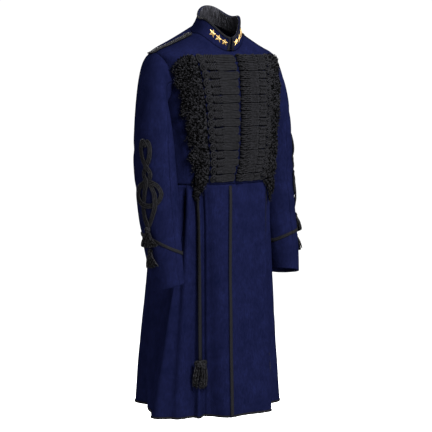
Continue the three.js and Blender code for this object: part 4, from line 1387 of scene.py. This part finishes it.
@dataclass
class Braids:
    """The flat braids: front edge, sides, hems, cuffs and collar."""

    finishes: Finishes
    skirt: Skirt
    collar: Collar
    sleeves: dict[Side, Sleeve]
    front_wide: float = 9.0
    side_wide: float = 8.0
    hem_tall: float = 6.0
    cuff_tall: float = 9.0
    cuff_lines: tuple[tuple[float, float, float], tuple[float, float, float]] = (
        (-546.0, 28.0, -60.0), (-559.0, 22.0, -115.0))

    @staticmethod
    def dress(made: bpy.types.Object, node: str) -> bpy.types.Object:
        """Hide the frame node that a braid stands for."""
        return stand_for(made, node, "black_braid")

    def build(self) -> list[bpy.types.Object]:
        """Lay every braid."""
        made = [self.front_edge(), self.collar_edge()]
        for side in Side:
            made += [self.side_line(side), *self.hems(side), self.cuff(side)]
        return made

    def front_edge(self) -> bpy.types.Object:
        """Lay the braid down the left skirt's front edge."""
        def surface(across: Array, z: Array, lift: Array) -> Array:
            """Give points near the skirt's front edge."""
            turn = self.skirt.form.turn_at(FRONT_EDGE.by_height(z, "x") + 0.3 + across, z)
            return self.skirt.on_front(Side.LEFT, turn, z, lift)

        def path(u: Array, v: Array) -> Array:
            """Run down from the waist seam to the hem."""
            return np.stack([self.front_wide * v, SKIRT_TOP - 3 + (SKIRT_HEM + 4 - SKIRT_TOP) * u], -1)

        made = ribbon("front_edge_braid", surface, path, self.front_wide, 2.0, 330, self.finishes.braid)
        return self.dress(made, "front_braid")

    def side_line(self, side: Side) -> bpy.types.Object:
        """Lay the braid down a skirt front to its tassel."""
        def surface(across: Array, z: Array, lift: Array) -> Array:
            """Give points near the side line."""
            return side_point(self.skirt, side, across, z, lift)

        def path(u: Array, v: Array) -> Array:
            """Run down from the waist seam to the tassel."""
            return np.stack([self.side_wide * (v - 0.5), SKIRT_TOP - 4 + (SIDE_END - SKIRT_TOP + 4) * u], -1)

        made = ribbon(f"side_line_{side.word}", surface, path, self.side_wide, 1.9, 260, self.finishes.braid)
        return self.dress(made, f"side_braid_{side.word}")

    def hems(self, side: Side) -> list[bpy.types.Object]:
        """Bind a front's hem and a back's hem."""
        skirt = self.skirt

        def front(share: Array, up: Array, lift: Array) -> Array:
            """Give points along a front's hem."""
            z = SKIRT_HEM + 0.4 + up
            near = self.front_wide + 0.8 if side is Side.LEFT else 1.0
            start = skirt.form.turn_at(FRONT_EDGE.by_height(z, "x") + side.sign * near, z)
            turn = start + (side.sign * (skirt.form.seam(z) - 0.2) - start) * share
            return skirt.on_front(side, turn, z, lift)

        def back(share: Array, up: Array, lift: Array) -> Array:
            """Give points along a back's hem."""
            z = SKIRT_HEM + HEM_STEP + 0.4 + up
            start = side.sign * (skirt.form.seam(z) + 0.4)
            return skirt.form.lifted(start + (side.sign * 179.7 - start) * share, z, lift)

        def path(u: Array, v: Array) -> Array:
            """Run along the hem, upwards across the binding."""
            return np.stack([u, self.hem_tall * v], -1)

        made = []
        for word, surface in (("front", front), ("back", back)):
            strip = ribbon(f"hem_binding_{word}_{side.word}", surface, path, self.hem_tall, 1.3, 220,
                           self.finishes.braid)
            made.append(self.dress(strip, f"hem_{word}_{side.word}"))
        return made

    def cuff(self, side: Side) -> bpy.types.Object:
        """Lay the slanting band round a sleeve's end."""
        form = self.sleeves[side].form

        def surface(turn: Array, z: Array, lift: Array) -> Array:
            """Give points on the sleeve by turn and height."""
            return form.lifted(turn, form.row_at(z), lift)

        def path(u: Array, v: Array) -> Array:
            """Run round the sleeve on the band's slant."""
            turn = 360 * u
            top, slant, lowest = self.cuff_lines[0 if side is Side.RIGHT else 1]
            z = top - slant * np.cos(np.radians(turn - lowest)) - self.cuff_tall * v
            return np.stack([turn, z - form.tilt(turn, form.row_at(z))], -1)

        made = ribbon(f"cuff_band_{side.word}", surface, path, self.cuff_tall, 2.0, 160, self.finishes.braid, True)
        return self.dress(made, f"cuff_braid_{side.word}")

    def collar_edge(self) -> bpy.types.Object:
        """Lay the braid along the collar's rim and down its front edges."""
        form, opening = self.collar.form, self.collar.opening
        lines = []
        for row in (0.875, 0.965):
            turn = np.linspace(opening + 1, 359 - opening, 90)
            lines.append(lay_line(form.lifted, turn, np.full(90, row), np.full(90, SEAT + 0.9), 1.7))
        for middle in (opening + 1.4, opening + 4.3):
            for turn in (middle, 360 - middle):
                v = np.linspace(0.05, 0.86, 20)
                lines.append(lay_line(form.lifted, np.full(20, turn), v, np.full(20, SEAT + 0.9), 1.6))
        mesh = strand_mesh("collar_edging", lines, 90, 8)
        return self.dress(link("collar_edging", mesh, self.finishes.cord), "collar_braid")


def side_point(skirt: Skirt, side: Side, across: Array, z: Array, lift: Array | float) -> Array:
    """Give points near a side braid's line.

    Args:
        skirt: The skirt that carries it.
        side: Its side.
        across: Millimetres from the line.
        z: Heights in millimetres.
        lift: Millimetres outwards.

    Returns:
        Points in millimetres.
    """
    turn = SIDE_BRAID.by_height(z, "turn") + np.degrees(np.asarray(across) / SKIRT_ROUND)
    return skirt.on_front(side, side.sign * turn, z, lift)


@dataclass
class Frogs:
    """Eight frogs on either side: each has two rows of five cords that cross and end in loops."""

    finishes: Finishes
    form: BodiceForm
    rows: int = 2
    cords: int = 5
    pitch: float = 4.05
    cord: float = 2.45
    plait_from: float = 0.58
    plait_to: float = 0.86
    # End loops: radius, lift and cord. Closure columns: distance, half width and rise. All in millimetres
    ends: tuple[tuple[float, float, float], ...] = ((7.6, 2.6, 2.7), (3.4, 4.6, 2.5))
    columns: tuple[tuple[float, float, float], ...] = ((4.5, 5.6, 9.0), (15.0, 5.4, 6.0), (25.0, 5.2, 4.2))
    shifts: tuple[float, ...] = (-7.0, -2.4, 2.4, 7.0)
    loop_cord: float = 2.3

    def build(self) -> list[bpy.types.Object]:
        """Make every frog."""
        made = []
        for side in Side:
            for k in range(FROG_PAIRS):
                made.append(self.frog(side, k))
        return made

    def frog(self, side: Side, k: int) -> bpy.types.Object:
        """Make one frog."""
        tall = (FROG_TOP - FROG_BOTTOM) / FROG_PAIRS
        lines: list[Line] = []
        for j in range(self.rows):
            middle = FROG_TOP - tall * k - tall * (j + 0.5) / self.rows
            lines += self.row(side, middle, k * self.rows + j)
        name = f"frog_cords_{side.word}_{k + 1}"
        made = link(name, strand_mesh(name, lines, 35, 5), self.finishes.cord)
        return stand_for(made, f"frog_{side.word}_{k + 1}", "black_cord")

    def surface(self, side: Side, z0: float) -> Callable[[Array, Array, Array], Array]:
        """Give a surface whose first place is the share of the reach and whose second is a height."""
        def at(out: Array, z: Array, lift: Array) -> Array:
            """Give points by their distance from the closure."""
            x = CLOSURE.by_height(np.full(np.shape(out), z0), "x") + side.sign * out
            return self.form.front(x, z, lift)

        return at

    def row(self, side: Side, z0: float, index: int) -> list[Line]:
        """Lay one row's cords.

        Args:
            side: The coat's side.
            z0: The row's height.
            index: The row's number from the top.

        Returns:
            The cords.
        """
        at = self.surface(side, z0)
        reach = float(FROG_REACH.by_height(z0, side.word))
        inner = 9.0 + 2.6 * math.sin(index * 2.3) if side is Side.RIGHT else 4.0
        share = np.linspace(0, 1, 60)
        out = inner + (reach - 9 - inner) * share
        sway = 0.8 * math.sin(index * 1.9) + 0.7 * np.sin(share * 7 + index * 1.3)
        near = np.exp(-((share / 0.22) ** 2))
        plait = np.clip((share - self.plait_from) / 0.05, 0, 1) * np.clip((self.plait_to + 0.05 - share) / 0.05, 0, 1)
        plait = plait * plait * (3 - 2 * plait)
        groove = np.exp(-(((share - self.plait_from) / 0.018) ** 2))
        lines = []
        for i in range(self.cords):
            level = (i - (self.cords - 1) / 2) * self.pitch
            phase = 2 * np.pi * ((share - self.plait_from) * 3.1 + i / self.cords)
            z = z0 + sway + level * (1 - plait) * (1 - 0.06 * near) + plait * 8.0 * np.cos(phase)
            lift = FROG_SEAT + self.cord * (1.0 - 0.25 * groove) + plait * (2.0 + 2.4 * np.sin(2 * phase))
            if side is Side.LEFT:
                lift = lift + 5.5 * np.exp(-(((share - self.plait_from + 0.03) / 0.035) ** 2))
            lines.append(lay_line(at, out, z, lift, self.cord))
        lines += self.loops(side, at, z0, inner, reach)
        return lines

    def loops(self, side: Side, at: Callable[[Array, Array, Array], Array], z0: float, inner: float,
              reach: float) -> list[Line]:
        """Lay a row's end loops and its upright closure loop."""
        turn = np.radians(np.linspace(-150, 150, 44))
        lines = []
        swell = 2.0 + 1.2 * math.sin(z0 * 0.37)
        for radius, lift, cord in self.ends:
            out = reach - 8.2 + radius * np.cos(turn)
            lines.append(lay_line(at, out, z0 + radius * 1.18 * np.sin(turn) + 1.4 * np.cos(turn),
                                  FROG_SEAT + lift + 1.5 * swell * (1 + np.sin(turn + 0.7)), cord))
        if side is Side.LEFT:
            turn = np.radians(np.linspace(-20, 200, 44))
            for column, (far, wide, tall) in enumerate(self.columns):
                for shift in self.shifts:
                    odd = math.sin(z0 * 1.7 + shift * 3.1 + column * 2.0)
                    out = inner + far + wide * np.cos(turn) + 1.5 * odd
                    lift = 2.4 + (tall + 1.6 * odd) * np.sin(turn)
                    z = z0 + shift + 2.0 * np.cos(turn) * odd
                    lines.append(lay_line(at, out, z, np.maximum(lift, 1.0), self.loop_cord))
        else:
            turn = np.radians(np.linspace(90, 270, 44))
            for radius in (3.2, 8.0):
                out = inner + 1 + radius * 0.6 * np.cos(turn)
                z = z0 + radius * np.sin(turn)
                lines.append(lay_line(at, np.maximum(out, 1.8), z, np.full(44, 3.0), self.loop_cord))
        return lines


@dataclass
class Fringe:
    """A band of curled strands in locks that stand out from the frogs' outer ends and fall."""

    finishes: Finishes
    bodice: BodiceForm
    skirt: SkirtForm
    locks: int = 76
    each: int = 5
    strand: float = 1.3
    head: float = 8.0
    rings: int = 36
    head_parts: int = 12
    head_rings: int = 26

    def build(self) -> list[bpy.types.Object]:
        """Make both bands."""
        return [self.band(side) for side in Side]

    def place(self, side: Side, z0: Array, across: Array, fall: Array, lift: Array) -> Array:
        """Give points near the band's root line, on the skirt where they fall below the waist."""
        x = CLOSURE.by_height(z0, "x") + side.sign * (FROG_REACH.by_height(z0, side.word) + 1.5)
        root, _ = self.bodice.place(x, z0)
        turn = root + side.sign * np.degrees(across / BODICE_ROUND)
        z = z0 + fall
        above = self.bodice.lifted(turn, self.bodice.row_at(turn, z), lift)
        below = self.skirt.lifted(turn, np.minimum(z, SKIRT_TOP), lift)
        return np.where((z < SKIRT_TOP)[..., None], below, above)

    def band(self, side: Side) -> bpy.types.Object:
        """Make one band."""
        rng = np.random.default_rng(11 if side is Side.RIGHT else 12)
        m = self.rings
        f = np.linspace(0, 1, m)[None, None, :]
        lock = (self.locks, 1, 1)
        every = (self.locks, self.each, 1)
        z0 = np.linspace(FROG_TOP - 2, FROG_BOTTOM + 3, self.locks).reshape(lock) + rng.normal(0, 1.6, every)
        layer = np.clip(rng.random(lock) + rng.normal(0, 0.12, every), 0, 1)
        out = FRINGE_REACH.by_height(z0, side.word) * (0.5 + 0.58 * rng.random(lock)) + self.head
        fall = FRINGE_REACH.by_height(z0, "fall") * (0.75 + 0.4 * rng.random(lock))
        out, fall = out + rng.normal(0, 3.0, every), fall + rng.normal(0, 3.0, every)
        stray = rng.normal(0, 1, lock) * 3.5 + rng.normal(0, 1, every) * 2.5
        across = 1.0 + out * np.sin(f * np.pi / 2 * 0.94) ** 1.1 + stray * f
        down = -fall * f**1.5 + (rng.normal(0, 1, lock) * 6.0 + rng.normal(0, 1, every) * 3.0) * f
        curl = (out + fall * 0.5) / (7.5 + 3.0 * rng.random(lock))
        wave = 2 * np.pi * (f * curl + rng.random(every))
        size = (2.0 + 3.0 * rng.random(every)) * np.clip(f * 5, 0, 1)
        lift = 2.2 + (1.0 + 10.0 * layer) * np.sin(np.clip(f * 1.15, 0, 1) * np.pi / 2) + size * np.cos(wave)
        down = down + size * np.sin(wave)
        across = across + 0.9 * size * np.sin(wave + 1.2)
        flat = [np.broadcast_to(a, (self.locks, self.each, m)).reshape(-1, m) for a in (z0, across, down, lift)]
        points = self.place(side, flat[0], flat[1], flat[2], np.maximum(flat[3], 1.3))
        outs = self.place(side, flat[0], flat[1], flat[2], np.maximum(flat[3], 1.3) + 3) - points
        radius = np.linspace(1.0, 0.75, m) * self.strand
        lines = [Line(points[k], outs[k], radius) for k in range(len(points))]
        lines += self.head_lines(side)
        name = f"fringe_strands_{side.word}"
        made = link(name, strand_mesh(name, lines, m, 4), self.finishes.fringe)
        return stand_for(made, f"fringe_{side.word}", "black_cord")

    def head_lines(self, side: Side) -> list[Line]:
        """Lay the woven head that the strands hang from."""
        lines = []
        count, each = self.head_parts, self.head_rings
        stations = np.linspace(FROG_TOP, FROG_BOTTOM, count * each)
        for part in range(count):
            z = stations[part * each:(part + 1) * each + 1]
            for across in (1.4, 4.4):
                out, fall = np.full(z.shape, across), np.zeros(z.shape)
                points = self.place(side, z, out, fall, np.full(z.shape, 2.0))
                outs = self.place(side, z, out, fall, np.full(z.shape, 5.0)) - points
                lines.append(Line(points, outs, np.full(len(z), 1.7)))
        return lines


@dataclass(frozen=True)
class TasselSize:
    """A tassel's sizes in millimetres, with the number of its strands."""

    head: float
    long: float
    spread: float
    strands: int


@dataclass
class Tassels:
    """Tassels: a corded head and a skirt of strands."""

    finishes: Finishes
    skirt: Skirt
    sleeves: dict[Side, Sleeve]
    on_skirt: TasselSize = TasselSize(20, 58, 5, 84)
    upper: TasselSize = TasselSize(16, 40, 23, 92)
    lower: TasselSize = TasselSize(14, 38, 16, 70)

    def build(self) -> list[bpy.types.Object]:
        """Make every tassel."""
        made = []
        for side in Side:
            def on_skirt(across: Array, fall: Array, lift: Array, side: Side = side) -> Array:
                """Give points below the end of a side line."""
                return side_point(self.skirt, side, across, SIDE_END - 0.3 + fall, lift)

            made.append(self.tassel(on_skirt, self.on_skirt, f"skirt_tassel_{side.word}"))
            form = self.sleeves[side].form
            for word, top, size, shift in (("upper", -500, self.upper, 0), ("lower", -556, self.lower, 1)):
                def on_sleeve(across: Array, fall: Array, lift: Array, form: SleeveForm = form, top: float = top,
                              shift: float = shift, swell: float = 6.0 if side is Side.LEFT else 1.5) -> Array:
                    """Give points below a sleeve knot."""
                    return form.on_knot(across + shift, top + fall, lift + swell * np.clip(-fall / 24, 0, 1))

                made.append(self.tassel(on_sleeve, size, f"sleeve_tassel_{word}_{side.word}"))
        return made

    def tassel(self, at: Callable[[Array, Array, Array], Array], size: TasselSize, node: str) -> bpy.types.Object:
        """Make one tassel.

        Args:
            at: Gives points from across, fall and lift.
            size: Its sizes.
            node: The frame node that it stands for.

        Returns:
            The piece.
        """
        rng = np.random.default_rng(len(node) * 7 + size.strands)
        head, long = size.head, size.long
        coils, steps = 9, 180
        s = np.linspace(0, 1, steps)
        turn = 2 * np.pi * coils * s
        girth = head * 0.46 * np.sqrt(np.clip(1 - (1.8 * s - 0.9) ** 2, 0.25, 1))
        flat = 0.75
        helix = lay_line(at, girth * np.cos(turn), -head * 0.8 * s, SEAT + head * 0.36 + flat * girth * np.sin(turn),
                         head * 0.055 + 0.3)
        lines = []
        parts = 12
        for part in range(parts):
            cut = slice(part * steps // parts, (part + 1) * steps // parts + 1)
            lines.append(Line(helix.points[cut], helix.outs[cut], helix.radius[cut]))
        for _ in range(size.strands):
            lean = rng.uniform(-1, 1)
            depth = rng.uniform(0, 1)
            f = np.linspace(0, 1, 18)
            tip = long * (1 - 0.1 * lean * lean) * rng.uniform(0.93, 1.03)
            fall = -head * 0.7 - (tip + head * 0.1) * f
            across = head * 0.34 * lean + lean * size.spread * f**1.25
            lift = SEAT + 1.2 + head * 0.12 + head * (0.5 * depth) * (0.8 + 0.3 * np.sin(np.pi * f))
            wave = 2 * np.pi * (f * long / 8.0 + rng.random())
            across = across + 0.5 * np.sin(wave) * f
            lines.append(lay_line(at, across, fall, lift + 0.4 * np.cos(wave) * f, 1.05))
        name = f"{node}_strands"
        made = link(name, strand_mesh(name, lines, 18, 4), self.finishes.tassel)
        return stand_for(made, node, "black_cord")


@dataclass
class Knots:
    """Sleeve knots of doubled cord: a ring, a diamond and two small top loops."""

    finishes: Finishes
    sleeves: dict[Side, Sleeve]
    half: Rows = field(default_factory=lambda: Rows("a z", [
        (0, -499), (12, -474), (19, -450), (15, -418), (4, -390), (11, -371),
        (0, -353), (-13, -334), (-15, -313), (-7, -300), (2, -308),
    ]))
    ring: tuple[float, float, float] = (36.0, 29.0, -419.0)
    cord: float = 2.3
    gap: float = 4.3
    button_z: float = -499.0

    def build(self) -> list[bpy.types.Object]:
        """Make both knots."""
        return [self.knot(side) for side in Side]

    def knot(self, side: Side) -> bpy.types.Object:
        """Make one knot."""
        form = self.sleeves[side].form
        lines = []
        s = np.linspace(0, 1, 90)
        row = self.half.read(s)
        for mirror in (1, -1):
            weave = 2.6 + 1.6 * mirror * np.sin(2 * np.pi * (s * 3.0 + 0.1))
            lines += self.plied(form, mirror * row["a"], row["z"], weave)
        for start, end in ((-95, 95), (85, 275)):
            turn = np.radians(np.linspace(start, end, 90))
            a = self.ring[0] * np.cos(turn)
            z = self.ring[2] + self.ring[1] * np.sin(turn)
            lines += self.plied(form, a, z, 2.6 + 1.6 * np.cos(2 * turn + 0.6))
        turn = np.radians(np.linspace(0, 720, 90))
        for radius in (2.2, 4.6):
            for level in (2.4, 5.4):
                lines.append(lay_line(form.on_knot, radius * np.cos(turn), self.button_z + radius * np.sin(turn),
                                      np.full(90, SEAT + level), 1.6))
        name = f"sleeve_knot_cords_{side.word}"
        made = link(name, strand_mesh(name, lines, 72, 6), self.finishes.cord)
        return stand_for(made, f"sleeve_knot_{side.word}", "black_cord")

    def plied(self, form: SleeveForm, a: Array, z: Array, lift: Array) -> list[Line]:
        """Lay three cords side by side along a path."""
        along = np.stack([np.gradient(a), np.gradient(z)], -1)
        along /= np.maximum(np.linalg.norm(along, axis=1, keepdims=True), 1e-9)
        return [lay_line(form.on_knot, a - off * along[:, 1], z + off * along[:, 0], SEAT + lift, self.cord)
                for off in (-self.gap, 0.0, self.gap)]


@dataclass
class Straps:
    """Shoulder straps: two edge cords, a plaited middle and a knotted end at the collar."""

    finishes: Finishes
    carriers: Sequence[bpy.types.Object]
    start: float = 84.0
    reach: float = 112.0
    half: float = 12.0
    taper: float = 1.5
    y_start: float = -26.0
    y_run: float = 24.0
    feeler: float = 10.5
    stations: int = 46
    points: int = 70

    def seat_heights(self) -> Callable[[Array, Array], Array]:
        """Measure the cloth's height under a point from above."""
        graph = bpy.context.evaluated_depsgraph_get()
        trees = [BVHTree.FromObject(o, graph) for o in self.carriers]

        def height(x: Array, y: Array) -> Array:
            """Give the highest cloth near each point."""
            out = []
            for a, b in zip(np.ravel(x), np.ravel(y)):
                best = -1.0
                for dx in (-4, 0, 4):
                    for dy in (-4, 0, 4):
                        for tree in trees:
                            hit = tree.ray_cast(Vector(((a + dx) * MM, (b + dy) * MM, 0.2)), Vector((0, 0, -1)))
                            if hit[0] is not None:
                                best = max(best, hit[0].z)
                out.append(best / MM)
            return np.array(out).reshape(np.shape(x))

        return height

    def build(self) -> list[bpy.types.Object]:
        """Make both straps."""
        height = self.seat_heights()
        made = []
        for side in Side:
            share = np.linspace(0, 1, self.stations)
            x0 = side.sign * (self.start + share * self.reach)
            y0 = self.y_start + self.y_run * share
            ground = np.stack([height(x0, y0 + k * self.feeler) for k in (-1, 0, 1)])

            def at(along: Array, across: Array, lift: Array, side: Side = side, ground: Array = ground) -> Array:
                """Give points along, across and above a strap."""
                x = side.sign * (self.start + along * self.reach)
                wide = self.half - self.taper * along
                y = self.y_start + self.y_run * along + across * wide / self.half
                level = [np.interp(along, np.linspace(0, 1, self.stations), g) for g in ground]
                t = np.clip(across / self.feeler, -1, 1)
                low = np.where(t < 0, level[1] + (level[0] - level[1]) * -t, level[1] + (level[2] - level[1]) * t)
                return np.stack([x, y, low + 0.6 + lift], -1)

            made.append(self.strap(side, at))
        return made

    def strap(self, side: Side, at: Callable[[Array, Array, Array], Array]) -> bpy.types.Object:
        """Make one strap."""
        n = self.points
        along = np.linspace(0, 1, n)
        lines = []
        for edge in (-10.4, 10.4, -7.4, 7.4):
            lines.append(lay_line(at, along, np.full(n, edge), np.full(n, 1.6), 1.75))
        for k in range(3):
            phase = 2 * np.pi * (along * 6.5 + k / 3)
            lines.append(lay_line(at, along, 3.9 * np.cos(phase), 2.2 + 0.9 * np.sin(2 * phase), 1.9))
        for k in range(4):
            lines.append(lay_line(at, along, np.full(n, -4.2 + 2.8 * k), np.full(n, 0.9), 1.5))
        tip = np.radians(np.linspace(-90, 90, n))
        for radius in (10.4, 7.4):
            lines.append(lay_line(at, 1 + (radius / self.reach) * 0.28 * np.cos(tip), radius * np.sin(tip),
                                  np.full(n, 1.6), 1.7))
        for middle in (-6.0, 0.0, 6.0):
            turn = np.radians(np.linspace(0, 350, n))
            lines.append(lay_line(at, 0.045 + 5.4 / self.reach * np.cos(turn), middle + 5.0 * np.sin(turn),
                                  3.4 + 1.0 * np.sin(2 * turn), 1.7))
        name = f"shoulder_strap_{side.word}_braid"
        made = link(name, strand_mesh(name, lines, 60, 7), self.finishes.cord)
        return stand_for(made, f"shoulder_strap_{side.word}", "black_braid")


@dataclass
class Stars:
    """Three gilt stars on either side of the collar, tip to tip."""

    finishes: Finishes
    form: CollarForm
    radius: float = 9.4
    inner: float = 0.42
    step: float = 15.6
    first: float = 17.5
    height: float = 0.45
    points: int = 5

    def build(self) -> list[bpy.types.Object]:
        """Make both rows of stars."""
        made = []
        for side in Side:
            bm = bmesh.new()
            for k in range(3):
                self.star(bm, side, k)
            name = f"gilt_stars_{side.word}"
            mesh = bpy.data.meshes.new(name)
            bm.to_mesh(mesh)
            bm.free()
            piece = link(name, mesh, self.finishes.gold)
            for polygon in mesh.polygons:
                polygon.use_smooth = False
            made.append(stand_for(piece, f"collar_stars_{side.word}", "gold_thread"))
        return made

    def star(self, bm: bmesh.types.BMesh, side: Side, k: int) -> None:
        """Raise one star from a ten-sided cone."""
        made = bmesh.ops.create_cone(bm, cap_ends=True, segments=2 * self.points, radius1=1.0, radius2=0.0, depth=1.0)
        middle = side.sign * (self.first + math.degrees(k * self.step / COLLAR_ROUND))
        for vert in made["verts"]:
            turn = math.atan2(vert.co.x, vert.co.y)
            far = math.hypot(vert.co.x, vert.co.y)
            point = round(math.degrees(turn) / (180 / self.points))
            reach = far * self.radius * (1.0 if point % 2 == 0 else self.inner)
            across, up = reach * math.sin(turn), reach * math.cos(turn)
            lift = SEAT + (3.0 if vert.co.z > 0.4 else 0.2)
            at = np.array([middle + math.degrees(across / COLLAR_ROUND)]), np.array([self.height + up / COLLAR_TALL])
            p = self.form.lifted(*at, lift)
            vert.co = Vector(p[0] * MM)
        bmesh.ops.recalc_face_normals(bm, faces=bm.faces)


@dataclass(frozen=True)
class Light:
    """A soft square light: its place round the coat in degrees and metres, its side in metres and its power."""

    name: str
    azimuth: float
    elevation: float
    distance: float
    size: float
    watts: float


def direction(azimuth: float, elevation: float) -> Vector:
    """Give the direction from the coat to a place round it, 0 being straight before its front."""
    a, e = math.radians(azimuth), math.radians(elevation)
    return Vector((math.sin(a) * math.cos(e), -math.cos(a) * math.cos(e), math.sin(e)))


@dataclass
class Studio:
    """The camera, the pale floor and the soft lights."""

    azimuth: float = -36.0
    elevation: float = 6.0
    distance: float = 4.5
    lens: float = 136.8
    target: tuple[float, float, float] = (0.0, 0.0, -0.52)
    shift: tuple[float, float] = (0.0150, 0.0157)
    floor_z: float = -1.75
    white: float = 1.05
    lights: tuple[Light, ...] = (
        Light("key", -4, 38, 3.2, 1.2, 800),
        Light("fill", -75, 25, 3.4, 1.6, 60),
        Light("rim", 75, 30, 3.2, 1.2, 110),
        Light("back", 170, 32, 3.4, 1.4, 320),
    )

    def hang(self, name: str, data: bpy.types.ID, azimuth: float, elevation: float, far: float) -> bpy.types.Object:
        """Put a camera or a light round the coat, looking at it."""
        back = direction(azimuth, elevation)
        made = bpy.data.objects.new(name, data)
        bpy.context.scene.collection.objects.link(made)
        made.location = Vector(self.target) + back * far
        made.rotation_euler = back.to_track_quat("Z", "Y").to_euler()
        return made

    def camera(self) -> None:
        """Aim the camera."""
        data = bpy.data.cameras.new("camera")
        data.lens = self.lens
        data.sensor_width = 36
        data.shift_x, data.shift_y = self.shift
        data.clip_end = 60
        bpy.context.scene.camera = self.hang("camera", data, self.azimuth, self.elevation, self.distance)

    def floor(self) -> None:
        """Lay the floor well below the hem."""
        bm = bmesh.new()
        bmesh.ops.create_grid(bm, x_segments=4, y_segments=4, size=16)
        bmesh.ops.translate(bm, verts=bm.verts, vec=(0, 0, self.floor_z))
        mesh = bpy.data.meshes.new("floor")
        bm.to_mesh(mesh)
        bm.free()
        mesh.materials.append(Paper().build())
        made = bpy.data.objects.new("floor", mesh)
        bpy.context.scene.collection.objects.link(made)

    def build(self) -> None:
        """Set the studio up."""
        self.camera()
        self.floor()
        for light in self.lights:
            data = bpy.data.lights.new(light.name, "AREA")
            data.size, data.energy = light.size, light.watts
            self.hang(light.name, data, light.azimuth, light.elevation, light.distance)
        world = bpy.data.worlds.new("studio")
        world.use_nodes = True
        ground = world.node_tree.nodes["Background"]
        ground.inputs["Color"].default_value = (1.0, 1.0, 1.0, 1.0)
        ground.inputs["Strength"].default_value = self.white
        bpy.context.scene.world = world
        bpy.context.scene.view_settings.view_transform = "Standard"


def main() -> None:
    """Build the coat."""
    logging.basicConfig(level=logging.INFO, format="%(message)s")
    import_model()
    Studio().build()
    finishes = Finishes()
    bodice = Bodice(finishes)
    skirt = Skirt(finishes)
    sleeves = {side: Sleeve(side, finishes, bodice.form) for side in Side}
    collar = Collar(finishes)
    pieces = bodice.build() + skirt.build() + [sleeve.build() for sleeve in sleeves.values()] + collar.build()
    pieces += Straps(finishes, pieces).build()
    pieces += Braids(finishes, skirt, collar, sleeves).build()
    pieces += Frogs(finishes, bodice.form).build()
    pieces += Fringe(finishes, bodice.form, skirt.form).build()
    pieces += Tassels(finishes, skirt, sleeves).build()
    pieces += Knots(finishes, sleeves).build()
    pieces += Stars(finishes, collar.form).build()
    for piece in pieces:
        LOG.info("%s: %d faces", piece.name, len(piece.data.polygons))


if __name__ == "__main__":
    main()
